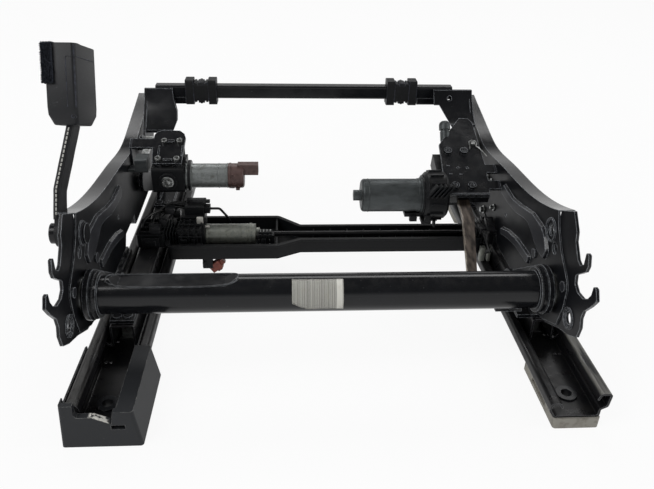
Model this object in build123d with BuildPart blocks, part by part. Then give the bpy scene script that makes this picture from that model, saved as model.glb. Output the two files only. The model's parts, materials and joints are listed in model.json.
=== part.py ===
from build123d import *
from math import cos, radians, sin, tan
import os

# Powered front seat base: two floor rails, a sliding carriage, a height linkage and a seat frame.
# X is to the right, Y is forward, Z is up. The origin is on the floor, midway between the four floor bolts.

# Floor rails
rail_length = 510.0
rail_spacing = 449.0
rail_sheet = 2.2
foot_height = 12.0
foot_length = 90.0
foot_width = 45.0
foot_stands_out = 2.0
bolt_inset = 30.0
bolt_hole_radius = 5.25
eyelet_radius = 7.0
eyelet_flange_radius = 10.5
eyelet_flange = 1.8
small_hole_radius = 1.5
floor_slot_length = 12.0
floor_slot_width = 7.0

# Sliding track inside the rails
upper_sheet = 2.2
upper_set_back = 110.0
upper_top = 33.0
cage_start = -64.0
cage_length = 190.0
cage_sheet = 0.8
balls_per_row = 6
spindle_radius = 5.0
spindle_height = 20.0
spindle_start = -112.0
holder_thick = 5.0
holder_to_eyelet = 4.5
holder_foot = 13.0
holder_half_width = 9.0

# Slide drive carried by the upper rails
drive_y = 40.0
drive_z = 54.0
shaft_radius = 3.0
gearbox_length = 40.0
nut_length = 17.0
nut_radius = 7.8
running_gap = 0.1
free_gap = 0.3
slide_can_radius = 13.0
slide_can_left = -155.0
slide_can_length = 63.0
tray_wall = 2.5
tray_floor_z = 36.0
tray_rim_z = 56.0
tray_wide_right = -64.0

# Height linkage, a parallelogram on each side
seat_x = -18.0
frame_half = 232.0
frame_sheet = 1.8
pivot_y = -95.0
pivot_z = 66.0
tube_y = -165.0
tube_z = 100.0
link_base = 270.0
link_thick = 5.0
link_outer = 226.0
link_gap = 3.0
link_eye_radius = 12.0
pin_radius = 5.0
tube_radius = 19.0
tube_wall = 2.5
journal_radius = 12.0
bush_radius = 15.0
bracket_thick = 4.0
ear_radius = 13.0
lever_reach = 40.0
lever_angle = -50.0
lever_x = 136.0
lever_thick = 6.0
lever_pin_radius = 4.0
rod_slope = 15.0
rod_thick = 6.0
rod_width = 14.0
rod_low_width = 9.6
rod_length = 222.0

# Seat frame
flange_width = 15.0
low_flange = 8.0
recliner_thick = 3.0
hook_hole_radius = 6.0
plate_sheet = 3.0
boss_radius = 5.5
height_motor_y = 17.0
height_motor_z = 119.0
height_can_radius = 20.0
height_can_left = 38.0
height_can_length = 76.0
height_case_radius = 28.5
height_case_width = 28.0
tilt_motor_y = 75.0
tilt_motor_z = 120.0
tilt_can_radius = 15.4
tilt_can_left = -172.0
tilt_can_length = 46.0
screw_radius = 3.0
screw_head_radius = 5.0
socket_radius = 2.6
tilt_screw_head_radius = 3.8
tilt_socket_radius = 2.0
screw_head = 4.0

# Front tilt tube and its arms
tilt_pivot_y = 145.0
tilt_pivot_z = 132.0
front_tube_y = 200.0
front_tube_z = 193.0
front_tube_left = -230.0
front_tube_right = 181.0
front_tube_height = 18.0
front_tube_depth = 16.0
arm_thick = 4.0
left_arm_reach = 46.0
right_arm_reach = 54.0
tilt_pin_back = 16.0
tilt_pin_up = 14.0

# Belt buckle on the left
anchor_bolt_radius = 6.0
stalk_width = 22.0
stalk_thick = 4.0
stalk_slope = 30.0
stalk_reach = 104.0
stalk_lean_in = 13.0
buckle_lean = 22.0
buckle_width = 25.0
buckle_depth = 42.0
buckle_height = 74.0
buckle_neck = 14.0
button_width = 14.0
button_depth = 15.0
button_height = 12.0
button_travel = 3.5
slot_width = 18.0

# Worked out from the sizes above
rail_x = rail_spacing / 2
rail_rear = -rail_length / 2
bolt_y = rail_length / 2 - bolt_inset
floor_mid = foot_height + rail_sheet / 2
floor_top = foot_height + rail_sheet
upper_top_z = floor_mid + upper_top + upper_sheet / 2
upper_start = rail_rear + upper_set_back
upper_end = rail_rear + rail_length
spindle_z = floor_mid + spindle_height
spindle_end = bolt_y - eyelet_flange_radius - holder_to_eyelet - holder_thick
tube_at = (tube_y, tube_z)
rear_pivot = (pivot_y, pivot_z)
front_tube_pivot = (tube_y + link_base, tube_z)
front_pivot = (pivot_y + link_base, pivot_z)
tilt_pivot = (tilt_pivot_y, tilt_pivot_z)
link_inner = link_outer - link_thick
ear_outer = link_inner - link_gap
ear_inner = ear_outer - link_thick
web_inner = frame_half - frame_sheet / 2
web_outer = frame_half + frame_sheet / 2
lever_end = (
    tube_y + lever_reach * cos(radians(lever_angle)),
    tube_z + lever_reach * sin(radians(lever_angle)),
)


# Helpers that draw in the part that is open

def across(y):
    """Sketch plane that faces the rear at y, with X to the right and Z up."""
    return Plane(origin=(0, y, 0), x_dir=(1, 0, 0), z_dir=(0, -1, 0))


def bar_x(x0, x1, centre, radius, mode=Mode.ADD):
    """Round bar along X, centred on (y, z)."""
    with BuildSketch(Plane.YZ.offset(x0)) as disc:
        with Locations(centre):
            Circle(radius)
    extrude(disc.sketch, amount=x1 - x0, mode=mode)


def bar_y(y0, y1, centre, radius, mode=Mode.ADD):
    """Round bar along Y, centred on (x, z)."""
    with BuildSketch(across(y0)) as disc:
        with Locations(centre):
            Circle(radius)
    extrude(disc.sketch, amount=y0 - y1, mode=mode)


def bar_z(z0, z1, centre, radius, mode=Mode.ADD):
    """Round bar along Z, centred on (x, y)."""
    with BuildSketch(Plane.XY.offset(z0)) as disc:
        with Locations(centre):
            Circle(radius)
    extrude(disc.sketch, amount=z1 - z0, mode=mode)


def block(x, y, z, mode=Mode.ADD):
    """Square block given by its (low, high) pair on each axis."""
    with BuildSketch(Plane.XY.offset(z[0])) as base:
        with Locations(((x[0] + x[1]) / 2, (y[0] + y[1]) / 2)):
            Rectangle(x[1] - x[0], y[1] - y[0])
    extrude(base.sketch, amount=z[1] - z[0], mode=mode)


def plate_x(x0, x1, outline, corner=0.0, mode=Mode.ADD):
    """Flat plate between x0 and x1, with an outline of (y, z) points."""
    with BuildSketch(Plane.YZ.offset(x0)) as face:
        with BuildLine():
            if corner:
                FilletPolyline(*outline, radius=corner, close=True)
            else:
                Polyline(*outline, close=True)
        make_face()
    extrude(face.sketch, amount=x1 - x0, mode=mode)


def profile_y(y0, y1, outline, mode=Mode.ADD):
    """Solid between y0 and y1, with an outline of (x, z) points."""
    with BuildSketch(across(y0)) as face:
        with BuildLine():
            Polyline(*outline, close=True)
        make_face()
    extrude(face.sketch, amount=y0 - y1, mode=mode)


def on_plane(plane, outline, depth, mode=Mode.ADD):
    """Solid on a sloping plane, with an outline of points in that plane."""
    with BuildSketch(plane) as face:
        with BuildLine():
            Polyline(*outline, close=True)
        make_face()
    extrude(face.sketch, amount=depth, mode=mode)


def folded_sheet(y0, y1, line, sheet, bend):
    """Folded sheet between y0 and y1, whose middle follows the (x, z) points."""
    with BuildSketch(across(y0)) as section:
        with BuildLine():
            FilletPolyline(*line, radius=bend)
            offset(amount=sheet / 2, side=Side.BOTH)
        make_face()
    extrude(section.sketch, amount=y0 - y1)


def link_plate(x0, x1, eye, eye_radius, hub, hub_radius):
    """Flat link that runs tangent round an eye and a hub."""
    with BuildSketch(Plane.YZ.offset(x0)) as link:
        with Locations(eye):
            Circle(eye_radius)
        with Locations(hub):
            Circle(hub_radius)
        make_hull()
    extrude(link.sketch, amount=x1 - x0)


def moved(points, origin):
    """Outline points given from an origin, in the model's own axes."""
    return [(origin[0] + p[0], origin[1] + p[1]) for p in points]


def mirrored(source, plane):
    """Second part, the mirror image of a finished one."""
    with BuildPart() as copy:
        mirror(source.part, about=plane)
    return copy


# Lower rails, folded channels whose outer wall is the taller one
lower_line = [
    (-17.0, 11.5), (-18.5, 15.5), (-27.0, 15.5), (-28.2, 8.5), (-23.0, 0.0), (20.5, 0.0),
    (20.5, 8.5), (27.0, 12.0), (28.4, 26.5), (18.5, 26.5), (16.5, 20.5),
]
floor_hole_places = [(11.0, -163.0), (16.0, -163.0), (11.0, -129.0), (16.0, -129.0)]
floor_slot_place = (-13.0, -115.0)

with BuildPart() as lower_rail_right:
    folded_sheet(rail_rear, -rail_rear, moved(lower_line, (rail_x, floor_mid)), rail_sheet, 2.4)
    for y in (-bolt_y, bolt_y):
        bar_z(foot_height, floor_top, (rail_x, y), eyelet_radius, Mode.SUBTRACT)
    for u, y in floor_hole_places:
        bar_z(foot_height, floor_top, (rail_x + u, y), small_hole_radius, Mode.SUBTRACT)
    with BuildSketch(Plane.XY.offset(foot_height)):
        with Locations((rail_x + floor_slot_place[0], floor_slot_place[1])):
            RectangleRounded(floor_slot_width, floor_slot_length, 2)
    extrude(amount=rail_sheet, mode=Mode.SUBTRACT)

lower_rail_left = mirrored(lower_rail_right, Plane.YZ)

# Feet under both ends of both rails
foot_inner = rail_x - foot_width / 2
foot_outer = rail_x + foot_width / 2
groove_depth = 3.0

with BuildPart() as feet_right:
    block(
        (foot_inner, foot_outer),
        (rail_rear - foot_stands_out, rail_rear - foot_stands_out + foot_length),
        (0, foot_height),
    )
    block(
        (foot_inner, foot_outer),
        (-rail_rear + foot_stands_out - foot_length, -rail_rear + foot_stands_out),
        (0, foot_height),
    )
    fillet(feet_right.edges().filter_by(Axis.Z), 3)
    for y in (-bolt_y, bolt_y):
        bar_z(0, foot_height, (rail_x, y), eyelet_radius, Mode.SUBTRACT)
    block((foot_inner, foot_inner + groove_depth), (rail_rear + 24, rail_rear + 62), (4, 9), Mode.SUBTRACT)

with BuildPart() as rail_feet:
    add(feet_right.part)
    mirror(feet_right.part, about=Plane.YZ)

# Eyelets that hold the feet to the rails and take the floor bolts
with BuildPart() as foot_eyelets:
    for x in (-rail_x, rail_x):
        for y in (-bolt_y, bolt_y):
            bar_z(0, floor_top, (x, y), eyelet_radius)
            bar_z(floor_top, floor_top + eyelet_flange, (x, y), eyelet_flange_radius)
            bar_z(0, floor_top + eyelet_flange, (x, y), bolt_hole_radius, Mode.SUBTRACT)

# Moulded cover round the rear end of the left rail, with a shelf over the rail's inner lip
cover_front = rail_rear - 10.0
cover_rear = rail_rear + foot_length
cover_play = 0.6
cover_floor = (-rail_x - 34.0, -rail_x + 39.5)
cover_rim = (-rail_x - 31.8, -rail_x + 32.0)
cover_top = 46.0
cover_side_top = 39.0
shelf_top = 38.5
shelf_thick = 2.0
shelf_edge = -rail_x + 17.0
cover_inner = (-rail_x - 28.8 - rail_sheet / 2 - cover_play, -rail_x + 28.2 + rail_sheet / 2 + cover_play)
cover_rear_edge = [
    (-19.4, cover_top + 1), (-19.4, 36.0), (-17.0, 33.0), (-3.6, 33.0), (13.0, 25.5), (15.0, shelf_top),
    (15.0, cover_top + 1),
]
cover_window = (-rail_x + 12.5, -rail_x + 25.0)

with BuildPart() as rear_end_cover:
    with BuildSketch(Plane.XY):
        with Locations(((cover_floor[0] + cover_floor[1]) / 2, (cover_front + cover_rear) / 2)):
            RectangleRounded(cover_floor[1] - cover_floor[0], cover_rear - cover_front, 3)
    with BuildSketch(Plane.XY.offset(cover_top)):
        with Locations(((cover_rim[0] + cover_rim[1]) / 2, (cover_front + cover_rear) / 2 + 1.0)):
            RectangleRounded(cover_rim[1] - cover_rim[0], cover_rear - cover_front - 5.0, 3)
    loft()
    inside = (rail_rear - 1.0, cover_rear + 1.0)
    block(cover_inner, inside, (-1.0, shelf_top - shelf_thick), Mode.SUBTRACT)
    block((cover_inner[0], shelf_edge), inside, (-1.0, cover_top + 1.0), Mode.SUBTRACT)
    block(
        (-rail_x, cover_floor[1]), (cover_front - 1.0, cover_rear + 1.0), (shelf_top, cover_top + 1.0),
        Mode.SUBTRACT,
    )
    block(
        (cover_floor[0], -rail_x), (rail_rear + 5.0, cover_rear + 1.0),
        (cover_side_top, cover_top + 1.0), Mode.SUBTRACT,
    )
    profile_y(cover_front - 1.0, rail_rear, moved(cover_rear_edge, (-rail_x, 0.0)), Mode.SUBTRACT)
    block(
        (cover_floor[0] + 4.5, cover_floor[1] - 9.5), (cover_front + 3.0, rail_rear), (-1.0, 17.0),
        Mode.SUBTRACT,
    )
    block(cover_window, (cover_front - 1.0, rail_rear), (19.5, 24.0), Mode.SUBTRACT)

# Fixed spindles and the holders riveted to the rail floors
with BuildPart() as track_spindles:
    for x in (-rail_x, rail_x):
        bar_y(spindle_start - holder_thick, spindle_end + holder_thick, (x, spindle_z), spindle_radius)

with BuildPart() as spindle_holders:
    for x in (-rail_x, rail_x):
        for y0, y1, y2 in (
            (spindle_start - holder_thick, spindle_start, spindle_start - holder_foot),
            (spindle_end, spindle_end + holder_thick, spindle_end + holder_thick - holder_foot),
        ):
            block((x - holder_half_width, x + holder_half_width), (y0, y1), (floor_top, spindle_z + 8.0))
            block(
                (x - holder_half_width, x + holder_half_width), sorted((y0, y2)),
                (floor_top, floor_top + 2.5),
            )
            bar_y(y0, y1, (x, spindle_z), spindle_radius, Mode.SUBTRACT)

# Balls and the thin cages that space them. Each row is (across, up, radius) from the rail's middle.
ball_rows = [(24.1, 22.2, 2.7), (16.2, 4.3, 3.1), (-24.3, 11.8, 2.1), (-18.5, 2.6, 1.4)]
cage_line = [(-16.4, 2.0), (12.4, 2.0), (12.4, 5.5)]

with BuildPart() as ball_cage_right:
    folded_sheet(
        cage_start, cage_start + cage_length, moved(cage_line, (rail_x, floor_mid)), cage_sheet, 0.6,
    )

with BuildPart() as ball_cages:
    add(ball_cage_right.part)
    mirror(ball_cage_right.part, about=Plane.YZ)

with BuildPart() as track_balls:
    for side in (-1, 1):
        for u, v, radius in ball_rows:
            for i in range(balls_per_row):
                y = cage_start + cage_length * (i + 0.5) / balls_per_row
                with Locations((side * (rail_x + u), y, floor_mid + v)):
                    Sphere(radius)

# Upper rails, hat sections that hook under the lower rails' lips
upper_line = [
    (21.2, 18.9), (20.4, 13.6), (15.5, 8.9), (11.5, 8.0), (11.5, upper_top), (-11.5, upper_top),
    (-11.5, 6.5), (-16.0, 5.2), (-20.4, 5.2), (-21.6, 9.2),
]
rivet_radius = 3.0
rear_rivet_places = [
    (-5.0, pivot_y - 38.0), (6.0, pivot_y - 38.0), (-5.0, pivot_y + 26.0), (6.0, pivot_y + 26.0),
]
front_rivet_places = [(u, y + link_base) for u, y in rear_rivet_places]
stem_half = 7.0
stem_length = 26.0

with BuildPart() as upper_rail_right:
    folded_sheet(upper_start, upper_end, moved(upper_line, (rail_x, floor_mid)), upper_sheet, 1.5)
    for u, y in rear_rivet_places + front_rivet_places:
        bar_z(upper_top_z - upper_sheet - 1, upper_top_z, (rail_x + u, y), rivet_radius, Mode.SUBTRACT)
    block(
        (rail_x - stem_half - free_gap, rail_x + stem_half + free_gap),
        (drive_y - stem_length / 2 - free_gap, drive_y + stem_length / 2 + free_gap),
        (upper_top_z - upper_sheet - 1, upper_top_z + 1),
        Mode.SUBTRACT,
    )

upper_rail_left = mirrored(upper_rail_right, Plane.YZ)

# Brackets on the upper rails whose ears carry the link pivots
bracket_top = upper_top_z + bracket_thick
rail_half_top = 11.5 + upper_sheet / 2


def link_bracket(side, pivot):
    """Base on the upper rail and an upright ear beside the link."""
    ear = sorted((seat_x + side * ear_inner, seat_x + side * ear_outer))
    rail = (side * rail_x - rail_half_top, side * rail_x + rail_half_top)
    base = (min(ear[0], rail[0]), max(ear[1], rail[1]))
    block(base, (pivot[0] - 46.0, pivot[0] + 34.0), (upper_top_z, bracket_top))
    plate_x(ear[0], ear[1], [
        (pivot[0] - 32.0, upper_top_z), (pivot[0] + 20.0, upper_top_z),
        (pivot[0] + 9.0, pivot[1] + 9.0), (pivot[0] - 9.0, pivot[1] + 9.0),
    ])
    bar_x(ear[0], ear[1], pivot, ear_radius)
    bar_x(ear[0] - 1, ear[1] + 1, pivot, pin_radius, Mode.SUBTRACT)


with BuildPart() as rear_brackets:
    for side in (-1, 1):
        link_bracket(side, rear_pivot)
    for side in (-1, 1):
        for u, y in rear_rivet_places:
            bar_z(upper_top_z, bracket_top, (side * (rail_x + u), y), rivet_radius, Mode.SUBTRACT)

with BuildPart() as front_brackets:
    for side in (-1, 1):
        link_bracket(side, front_pivot)
    for side in (-1, 1):
        for u, y in front_rivet_places:
            bar_z(upper_top_z, bracket_top, (side * (rail_x + u), y), rivet_radius, Mode.SUBTRACT)

with BuildPart() as bracket_rivets:
    for side in (-1, 1):
        for u, y in rear_rivet_places + front_rivet_places:
            bar_z(upper_top_z - upper_sheet, bracket_top, (side * (rail_x + u), y), rivet_radius)
            bar_z(bracket_top, bracket_top + 1.5, (side * (rail_x + u), y), rivet_radius + 1.8)

# Shouldered pins riveted in the ears, with a head outside each link
with BuildPart() as link_pivot_pins:
    for side in (-1, 1):
        for pivot in (rear_pivot, front_pivot):
            inner = seat_x + side * (ear_inner - 2.0)
            outer = seat_x + side * (link_outer + 0.4)
            head = seat_x + side * (link_outer + 3.0)
            bar_x(inner, outer, pivot, pin_radius)
            bar_x(inner, seat_x + side * ear_inner, pivot, pin_radius + 2.5)
            bar_x(outer, head, pivot, pin_radius + 3.0)

# Slide gearboxes: the lower half hangs round the spindle, the upper half takes the drive shaft
nut_end_play = 0.3
gear_half = 9.8


def slide_gearbox(side):
    """Housing of one worm and nut, with a stem through the rail's top and a boss for the shaft."""
    x = side * rail_x
    y0 = drive_y - gearbox_length / 2
    y1 = drive_y + gearbox_length / 2
    block((x - gear_half, x + gear_half), (y0, y1), (spindle_z - 10.0, upper_top_z - upper_sheet - free_gap))
    block(
        (x - stem_half, x + stem_half), (drive_y - stem_length / 2, drive_y + stem_length / 2),
        (spindle_z, drive_z),
    )
    top = sorted((x + side * 15.0, x - side * 20.0))
    block(top, (y0 - 2.0, y1 + 2.0), (upper_top_z + free_gap, drive_z + 11.0))
    bar_x(x - side * 20.0, x - side * 36.0, (drive_y, drive_z), 8.0)
    bar_x(x, x - side * 40.0, (drive_y, drive_z), shaft_radius + running_gap, Mode.SUBTRACT)
    bar_y(y0 - 1, y1 + 1, (x, spindle_z), spindle_radius + free_gap, Mode.SUBTRACT)
    half = nut_length / 2 + nut_end_play
    bar_y(drive_y - half, drive_y + half, (x, spindle_z), nut_radius + running_gap, Mode.SUBTRACT)


with BuildPart() as slide_gearbox_right:
    slide_gearbox(1)
    chamfer(slide_gearbox_right.edges().filter_by(Axis.Z).group_by(Axis.Z)[-1], 2.0)

with BuildPart() as slide_gearbox_left:
    slide_gearbox(-1)
    chamfer(slide_gearbox_left.edges().filter_by(Axis.Z).group_by(Axis.Z)[-1], 2.0)


def drive_nut(side):
    """Worm wheel nut that turns on the fixed spindle."""
    with BuildPart() as nut:
        bar_y(drive_y - nut_length / 2, drive_y + nut_length / 2, (side * rail_x, spindle_z), nut_radius)
        bar_y(
            drive_y - nut_length, drive_y + nut_length, (side * rail_x, spindle_z),
            spindle_radius + running_gap, Mode.SUBTRACT,
        )
    return nut


drive_nut_left = drive_nut(-1)
drive_nut_right = drive_nut(1)

# Cross shaft from gearbox to gearbox, through the slide motor
shaft_end = rail_x - 4.0
with BuildPart() as drive_shaft:
    bar_x(-shaft_end, shaft_end, (drive_y, drive_z), shaft_radius)

# Slide motor in the wide half of the tray
slide_can_right = slide_can_left + slide_can_length
case_left = -rail_x + 36.0
with BuildPart() as slide_motor_can:
    bar_x(slide_can_left, slide_can_right, (drive_y, drive_z), slide_can_radius)
    bar_x(slide_can_right - 8.0, slide_can_right - 5.5, (drive_y, drive_z), slide_can_radius + 0.8)
    bar_x(slide_can_right, slide_can_right + 5.0, (drive_y, drive_z), 8.0)
    bar_x(
        slide_can_left - 1, slide_can_right + 6.0, (drive_y, drive_z), shaft_radius + running_gap,
        Mode.SUBTRACT,
    )

case_half = 18.5
case_low = drive_z - 13.0
case_shelf = drive_z + 21.0
with BuildPart() as slide_motor_case:
    block(
        (case_left, slide_can_left), (drive_y - case_half, drive_y + case_half), (case_low, drive_z + 16.0),
    )
    fillet(slide_motor_case.edges().filter_by(Axis.X), 5)
    rib_count = 4
    for i in range(rib_count):
        x = case_left + 5.0 + i * 7.5
        block(
            (x, x + 2.0), (drive_y - case_half - 2.0, drive_y + case_half + 2.0),
            (case_low + 2.0, drive_z + 18.0),
        )
    block(
        (case_left + 2.0, slide_can_left - 2.0), (drive_y + 6.0, drive_y + 34.0),
        (drive_z + 10.0, case_shelf),
    )
    bar_x(case_left - 1, slide_can_left + 1, (drive_y, drive_z), shaft_radius + running_gap, Mode.SUBTRACT)

# Moulded cross tray between the gearboxes, wide round the motor and narrow round the shaft
tray_left = -rail_x + 24.0
tray_right = rail_x - 24.0
wide_rear = drive_y - 33.0
wide_front = drive_y + 44.0
narrow_rear = drive_y - 18.0
narrow_front = drive_y + 18.0
tray_step = 12.0
tray_outline = [
    (tray_left, wide_rear), (tray_wide_right, wide_rear), (tray_wide_right + tray_step * 2.4, narrow_rear),
    (tray_right, narrow_rear), (tray_right, narrow_front), (tray_wide_right + tray_step * 2.4, narrow_front),
    (tray_wide_right, wide_front), (tray_left, wide_front),
]

with BuildPart() as cross_carrier:
    with BuildSketch(Plane.XY.offset(tray_floor_z)):
        with BuildLine():
            FilletPolyline(*tray_outline, radius=6, close=True)
        make_face()
    extrude(amount=tray_rim_z - tray_floor_z)
    top = cross_carrier.faces().sort_by(Axis.Z)[-1]
    offset(amount=-tray_wall, openings=top)
    with BuildSketch(Plane.XY.offset(tray_rim_z - 2.5)):
        with BuildLine():
            FilletPolyline(*tray_outline, radius=6, close=True)
        make_face()
        offset(amount=2.5)
        with BuildLine():
            FilletPolyline(*tray_outline, radius=6, close=True)
        make_face(mode=Mode.SUBTRACT)
    extrude(amount=2.5)
    block(
        (tray_wide_right - tray_wall, tray_wide_right), (wide_rear + 1, wide_front - 1),
        (tray_floor_z, tray_rim_z - 2.0),
    )
    rib_pitch = 22.0
    for i in range(8):
        x = tray_wide_right + 46.0 + i * rib_pitch
        block((x, x + 1.6), (narrow_rear + 1, narrow_rear + 7), (tray_floor_z, tray_rim_z - 4))
        block((x, x + 1.6), (narrow_front - 7, narrow_front - 1), (tray_floor_z, tray_rim_z - 4))
    bar_x(tray_wide_right - 5, tray_right + 5, (drive_y, drive_z), 8.0 + free_gap, Mode.SUBTRACT)
    bar_x(tray_left - 5, tray_left + 5, (drive_y, drive_z), 8.0 + free_gap, Mode.SUBTRACT)

# Plug on the motor case with its short lead, clipped to the tray
plug_y = drive_y + 21.0
plug_z = case_shelf
with BuildPart() as motor_plug:
    block((case_left + 6.0, case_left + 30.0), (plug_y - 8.0, plug_y + 8.0), (plug_z, plug_z + 12.0))
    chamfer(motor_plug.edges().group_by(Axis.Z)[-1], 1.5)
    block((case_left + 30.0, case_left + 38.0), (plug_y - 6.0, plug_y + 6.0), (plug_z + 1.0, plug_z + 9.0))

lead_radius = 1.6
lead_points = [
    (case_left + 38.0, plug_y, plug_z + 5.0), (case_left + 50.0, plug_y, plug_z + 5.0),
    (case_left + 58.0, plug_y + 4.0, plug_z - 8.0), (case_left + 61.0, wide_front - 8.0, tray_rim_z - 2.0),
    (case_left + 61.0, wide_front - 8.0, tray_floor_z + tray_wall),
]
with BuildPart() as motor_lead:
    with BuildLine() as lead_route:
        FilletPolyline(*lead_points, radius=[5.0, 6.0, 4.0])
    with BuildSketch(Plane(origin=lead_route.line @ 0, z_dir=lead_route.line % 0)):
        Circle(lead_radius)
    sweep()

# Clip under the tray, and the small connector that it holds at a slant
clip_right = slide_can_left + 9.0
clip_width = 12.0
with BuildPart() as loom_clip:
    block(
        (clip_right - clip_width, clip_right), (wide_rear + 1.0, wide_rear + 12.0),
        (tray_floor_z - 14.0, tray_floor_z),
    )
    block(
        (clip_right - clip_width, clip_right - 8.0), (wide_rear - 1.0, wide_rear + 1.0),
        (tray_floor_z - 11.0, tray_floor_z - 4.0),
    )

connector_slant = 36.0
connector_drop = 15.0
connector_plane = Plane(
    origin=(clip_right, wide_rear + 11.0, tray_floor_z - connector_drop),
    x_dir=(cos(radians(connector_slant)), 0, sin(radians(connector_slant))),
    z_dir=(0, -1, 0),
)
with BuildPart() as loom_connector:
    on_plane(connector_plane, [(-3.0, -6.0), (12.0, -6.0), (12.0, 5.0), (-3.0, 5.0)], 9.0)
    on_plane(connector_plane, [(12.0, -3.5), (17.0, -3.5), (17.0, 3.5), (12.0, 3.5)], 7.0)
    on_plane(connector_plane, [(2.0, -9.0), (8.0, -9.0), (8.0, -6.0), (2.0, -6.0)], 6.0)
    add(loom_clip.part, mode=Mode.SUBTRACT)

# Torque tube with a pressed flat on top at the left, swaged to journals at both ends
flat_left = seat_x - 196.0
flat_right = seat_x - 94.0
flat_depth = 3.5


def pressed_flat(cut):
    """Wedge that takes the flat out of the tube, or out of its bore by the wall's thickness."""
    low = tube_z + tube_radius - flat_depth - cut
    high = tube_z + tube_radius + 5.0
    return [
        (flat_left - 14.0, high), (flat_left - 10.0, tube_z + tube_radius - cut + 0.5), (flat_left, low),
        (flat_right, low), (flat_right + 12.0, tube_z + tube_radius - cut + 0.5), (flat_right + 16.0, high),
    ]


with BuildPart() as tube_bore:
    bar_x(seat_x - link_inner, seat_x + link_inner, tube_at, tube_radius - tube_wall)
    profile_y(tube_y - 30.0, tube_y + 30.0, pressed_flat(tube_wall), Mode.SUBTRACT)

with BuildPart() as rear_torque_tube:
    bar_x(seat_x - link_outer, seat_x + link_outer, tube_at, tube_radius)
    profile_y(tube_y - 30.0, tube_y + 30.0, pressed_flat(0.0), Mode.SUBTRACT)
    for side in (-1, 1):
        bar_x(seat_x + side * link_outer, seat_x + side * (web_outer + 5.5), tube_at, journal_radius)
        bar_x(seat_x + side * (link_inner - 7.0), seat_x + side * link_inner, tube_at, tube_radius + 4.0)
    add(tube_bore.part, mode=Mode.SUBTRACT)
    for side in (-1, 1):
        bar_x(
            seat_x + side * (link_inner - 1), seat_x + side * (web_outer + 15.0), tube_at,
            journal_radius - 3.0, Mode.SUBTRACT,
        )


def height_link(side, eye, hub, hub_radius, hub_hole):
    """Link plate with a running eye at the carriage and a hub at the frame end."""
    x = sorted((seat_x + side * link_inner, seat_x + side * link_outer))
    link_plate(x[0], x[1], eye, link_eye_radius, hub, hub_radius)
    bar_x(x[0] - 1, x[1] + 1, eye, pin_radius + running_gap, Mode.SUBTRACT)
    if hub_hole:
        bar_x(x[0] - 1, x[1] + 1, hub, hub_hole, Mode.SUBTRACT)


with BuildPart() as rear_link_left:
    height_link(-1, rear_pivot, tube_at, tube_radius + 6.0, tube_radius)

with BuildPart() as rear_link_right:
    height_link(1, rear_pivot, tube_at, tube_radius + 6.0, tube_radius)

stud_radius = 6.0
with BuildPart() as front_links:
    for side in (-1, 1):
        height_link(side, front_pivot, front_tube_pivot, link_eye_radius + 2.0, 0)
    for side in (-1, 1):
        bar_x(seat_x + side * link_outer, seat_x + side * (web_outer + 3.0), front_tube_pivot, stud_radius)

# Lever and stop tab welded under the tube, with the pin that pulls the height rod
tab_x = (158.0, 185.0)
rod_left = lever_x + lever_thick + 1.0
with BuildPart() as tube_lever:
    link_plate(lever_x, lever_x + lever_thick, lever_end, 9.0, tube_at, tube_radius - 1.0)
    block(tab_x, (tube_y - 7.0, tube_y + 15.0), (tube_z - tube_radius - 3.0, tube_z - tube_radius + 0.5))
    bar_x(lever_x - 1, tab_x[1] + 1, tube_at, tube_radius, Mode.SUBTRACT)
    bar_x(lever_x, rod_left + rod_low_width + 3.0, lever_end, lever_pin_radius)

# Flat rod from the lever to the height drive, cranked to the right on its way
rod_plane = Plane(
    origin=(0, lever_end[0], lever_end[1]),
    x_dir=(1, 0, 0),
    z_dir=(0, -sin(radians(rod_slope)), cos(radians(rod_slope))),
)
rod_crank = 15.0
crank_start = 18.0
crank_end = 128.0
crank_shift = 1.6
with BuildPart() as height_rod:
    with BuildSketch(rod_plane.offset(-rod_thick / 2)):
        with BuildLine():
            FilletPolyline(
                (rod_left, 0), (rod_left, crank_start), (rod_left + rod_crank, crank_end),
                (rod_left + rod_crank, rod_length),
                (rod_left + rod_crank + rod_width, rod_length),
                (rod_left + rod_crank + rod_width, crank_end - crank_shift),
                (rod_left + rod_low_width, crank_start - crank_shift), (rod_left + rod_low_width, 0),
                radius=0.8, close=True,
            )
        make_face()
    extrude(amount=rod_thick)
    bar_x(rod_left, rod_left + rod_low_width, lever_end, 8.5)
    bar_x(
        rod_left - 1, rod_left + rod_low_width + 1, lever_end, lever_pin_radius + running_gap, Mode.SUBTRACT,
    )

# Pressed side frames. Rear points are given from the tube, front points from the front link pivot.
top_edge_rear = [(19.0, 79.5), (60.0, 67.0), (130.0, 56.0)]
top_edge_front = [(-60.0, 50.0), (5.0, 45.5), (60.0, 55.0), (115.0, 67.0), (145.0, 74.0)]
frame_top = moved(top_edge_rear, tube_at) + moved(top_edge_front, front_tube_pivot)
low_front = moved([(141.0, 22.0), (118.0, -14.0), (60.0, -42.0), (-20.0, -45.0)], front_tube_pivot)
low_rear = moved(
    [
        (30.0, -45.0), (5.0, -40.0), (-28.0, -24.0), (-34.0, 0.0), (-34.0, 20.0), (-30.0, 28.0),
        (-5.0, 46.0), (11.0, 64.0),
    ],
    tube_at,
)
upper_hook_hole = (tube_y + 26.0, tube_z + 54.0)
middle_hole = (tube_y + 10.0, tube_z + 42.0)
lower_hook_hole = (tube_y - 46.0, tube_z - 3.0)
tooling_hole = (tube_y + 156.5, tube_z + 4.0)
collar_radius = 12.3
collar_bore = 10.5
collar_stands = 1.5
band_depth = 3.0
band_taper = 30.0
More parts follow.
